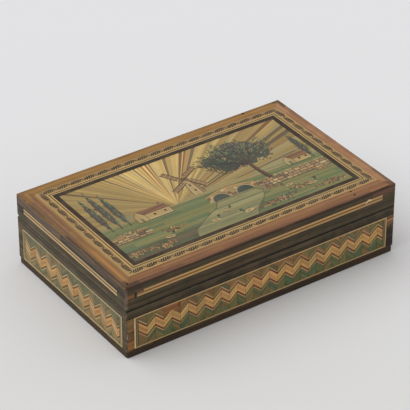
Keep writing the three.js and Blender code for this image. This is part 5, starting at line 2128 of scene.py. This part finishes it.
@dataclass
class Tray:
    """The lift-out tray with its crossing dividers and the pincushion."""

    card: FinishCard
    voxel: float = 4.0
    pressure: float = 4.0
    last_frame: int = 20
    shrink: float = 0.93
    smoothings: int = 4
    wall_gap: float = 0.25
    floor_gap: float = 0.02
    pull: float = 0.05

    def apply_modifiers(self, piece: Piece) -> None:
        """Puts a piece's modifiers into its mesh.

        Args:
            piece: The piece.
        """
        graph = bpy.context.evaluated_depsgraph_get()
        made = bpy.data.meshes.new_from_object(piece.evaluated_get(graph))
        piece.modifiers.clear()
        piece.data = made

    def modify(self, piece: Piece, kind: str, **settings: object) -> None:
        """Gives a piece a modifier and puts it into its mesh.

        Args:
            piece: The piece.
            kind: The modifier's type.
            **settings: Its own properties.
        """
        modifier = piece.modifiers.new(kind.title(), kind)
        for key, setting in settings.items():
            setattr(modifier, key, setting)
        self.apply_modifiers(piece)

    def stuff(self, cushion: Piece) -> None:
        """Swells the cushion with a short cloth simulation.

        Args:
            cushion: The cushion.
        """
        cloth = cushion.modifiers.new("Cloth", "CLOTH")
        cloth.settings.use_pressure = True
        cloth.settings.uniform_pressure_force = self.pressure
        cloth.settings.effector_weights.gravity = 0
        cloth.point_cache.frame_end = self.last_frame
        for step in range(1, self.last_frame + 1):
            bpy.context.scene.frame_set(step)
        self.apply_modifiers(cushion)
        bpy.context.scene.frame_set(1)

    def sew_cushion(self) -> None:
        """Builds the pincushion as a stuffed cloth pad that swells against the tray's corners."""
        low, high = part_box("tray_pincushion")
        middle = 0.5 * (low + high)
        mesh = frame["nodes"]["tray_pincushion"].data.copy()
        mesh.name = "pincushion"
        mesh.transform(Matrix.Translation(middle) @ Matrix.Scale(self.shrink, 4) @ Matrix.Translation(-middle))
        cushion = placed("pincushion", mesh)
        self.modify(cushion, "REMESH", mode="VOXEL", voxel_size=self.voxel * MM)
        self.stuff(cushion)
        self.modify(cushion, "SMOOTH", iterations=self.smoothings)
        self.fit_cushion(cushion, low, high)
        self.modify(cushion, "SUBSURF", levels=1, render_levels=1)
        for polygon in cushion.data.polygons:
            polygon.use_smooth = True
        cushion.data.materials.clear()
        cushion.data.materials.append(self.card.cloth)
        settle(cushion, "tray", "cushion_cloth", "tray_pincushion")

    def fit_cushion(self, piece: Piece, low: Vector, high: Vector) -> None:
        """Brings the swollen pad to the compartment's size, with sides pulled in between the corners.

        Args:
            piece: The pad.
            low: The compartment's lower corner.
            high: Its upper corner.
        """
        spots = [vertex.co for vertex in piece.data.vertices]
        start, stop = (Vector([end(spot[axis] for spot in spots) for axis in range(3)]) for end in (min, max))
        gap = Vector((self.wall_gap, self.wall_gap, self.floor_gap)) * MM
        centre, half = 0.5 * (low + high), 0.5 * (high - low) - gap
        for spot in spots:
            away = [2 * (spot[axis] - start[axis]) / (stop[axis] - start[axis]) - 1 for axis in range(3)]
            pulls = [1 - self.pull * (1 - away[1 - axis] ** 2) * abs(away[axis]) for axis in range(2)]
            for axis, pull in enumerate((*pulls, 1)):
                spot[axis] = centre[axis] + half[axis] * away[axis] * pull

    def build(self) -> None:
        """Dresses the tray and builds the cushion."""
        dress("tray_floor", self.card.tray)
        for side in Side:
            dress(f"tray_{side.value}_wall", self.card.tray if side.is_long else self.card.tray_cross, 0.35)
        dress("tray_grip_divider", self.card.tray, 0.45)
        for end in ("left", "right"):
            dress(f"tray_{end}_divider", self.card.tray_cross, 0.35)
        self.sew_cushion()


# Studio


@dataclass(frozen=True)
class Studio:
    """A pale floor with a painted light gradient, soft light from the upper left, and the camera of the photograph's
    angle.
    """

    azimuth: float = -34.657
    elevation: float = 33.27
    distance: float = 2.028
    target: Spot = (0.0441, 0.0662, 0)
    lens: float = 201.95
    clip_end: float = 100.0
    floor_size: float = 24.0
    # Painted light gradient: the floor's colour runs from darker near the box's front corner to lighter beyond it.
    floor_near: Colour = (0.69, 0.685, 0.68)
    floor_far: Colour = (0.745, 0.745, 0.757)
    floor_roughness: float = 0.9
    floor_gloss: float = 0.1
    near_reach: float = -250.0
    far_reach: float = 260.0
    backdrop: Colour = (0.8, 0.8, 0.81)
    ambient: float = 0.72
    sun: float = 1.15
    sun_elevation: float = 57.0
    sun_azimuth: float = -122.0
    sun_softness: float = 62.0

    def lay_floor(self) -> None:
        """Lays the floor, with painted light: its colour lightens away from the box's front corner."""
        half, turn = 0.5 * self.floor_size, radians(self.azimuth)
        mesh = bpy.data.meshes.new("floor")
        mesh.from_pydata([(x, y, 0) for x, y in box(-half, -half, 2 * half, 2 * half)], [], [(0, 1, 2, 3)])
        floor = Surface("Studio floor", self.floor_near)
        reach = floor.vector("DOT_PRODUCT", floor.position, (-sin(turn), cos(turn), 0.0), output="Value")
        tone = floor.mix(floor.ramp(reach, self.near_reach, self.far_reach), self.floor_near, self.floor_far)
        mesh.materials.append(floor.finish(tone, self.floor_roughness, Specular_IOR_Level=self.floor_gloss))
        placed("floor", mesh)

    def light(self) -> None:
        """Sets the world and the one soft lamp."""
        world = bpy.data.worlds.new("Studio")
        world.use_nodes = True
        bpy.context.scene.world = world
        graph, nodes = Graph(world.node_tree), world.node_tree.nodes
        graph.feed(nodes["Background"].inputs["Color"], self.backdrop)
        light = graph.node("Background", {"Color": (1, 1, 1), "Strength": self.ambient})
        rays = [graph.node("LightPath", output=f"Is {kind} Ray") for kind in ("Camera", "Glossy", "Transmission")]
        seen = graph.math("MAXIMUM", graph.math("MAXIMUM", rays[0], rays[1]), rays[2])
        both = graph.node("MixShader", {0: seen, 1: light, 2: Wire(graph, nodes["Background"].outputs[0])})
        graph.feed(nodes["World Output"].inputs["Surface"], both)
        lamp = bpy.data.lights.new("key", "SUN")
        lamp.energy = self.sun
        lamp.angle = radians(self.sun_softness)
        key = placed("key", lamp)
        key.rotation_euler = (QUARTER - radians(self.sun_elevation), 0, radians(self.sun_azimuth))

    def set_camera(self) -> None:
        """Places the camera."""
        azimuth, elevation = radians(self.azimuth), radians(self.elevation)
        level = cos(elevation)
        back = Vector((sin(azimuth) * level, -cos(azimuth) * level, sin(elevation)))
        lens = bpy.data.cameras.new("camera")
        lens.lens = self.lens
        lens.clip_end = self.clip_end
        camera = placed("camera", lens)
        camera.location = Vector(self.target) + back * self.distance
        camera.rotation_euler = (QUARTER - elevation, 0, azimuth)
        bpy.context.scene.camera = camera

    def build(self) -> None:
        """Builds the whole studio."""
        self.set_camera()
        self.lay_floor()
        self.light()
        bpy.context.scene.view_settings.view_transform = "Standard"


def main() -> None:
    """Builds the finishes, the studio and the sub-assemblies in order."""
    logging.basicConfig(level=logging.INFO, format="%(message)s")
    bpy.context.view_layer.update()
    card = FinishCard()
    Studio().build()
    for assembly in (Base, Lid, Fittings, Tray):
        assembly(card).build()


if __name__ == "__main__":
    main()
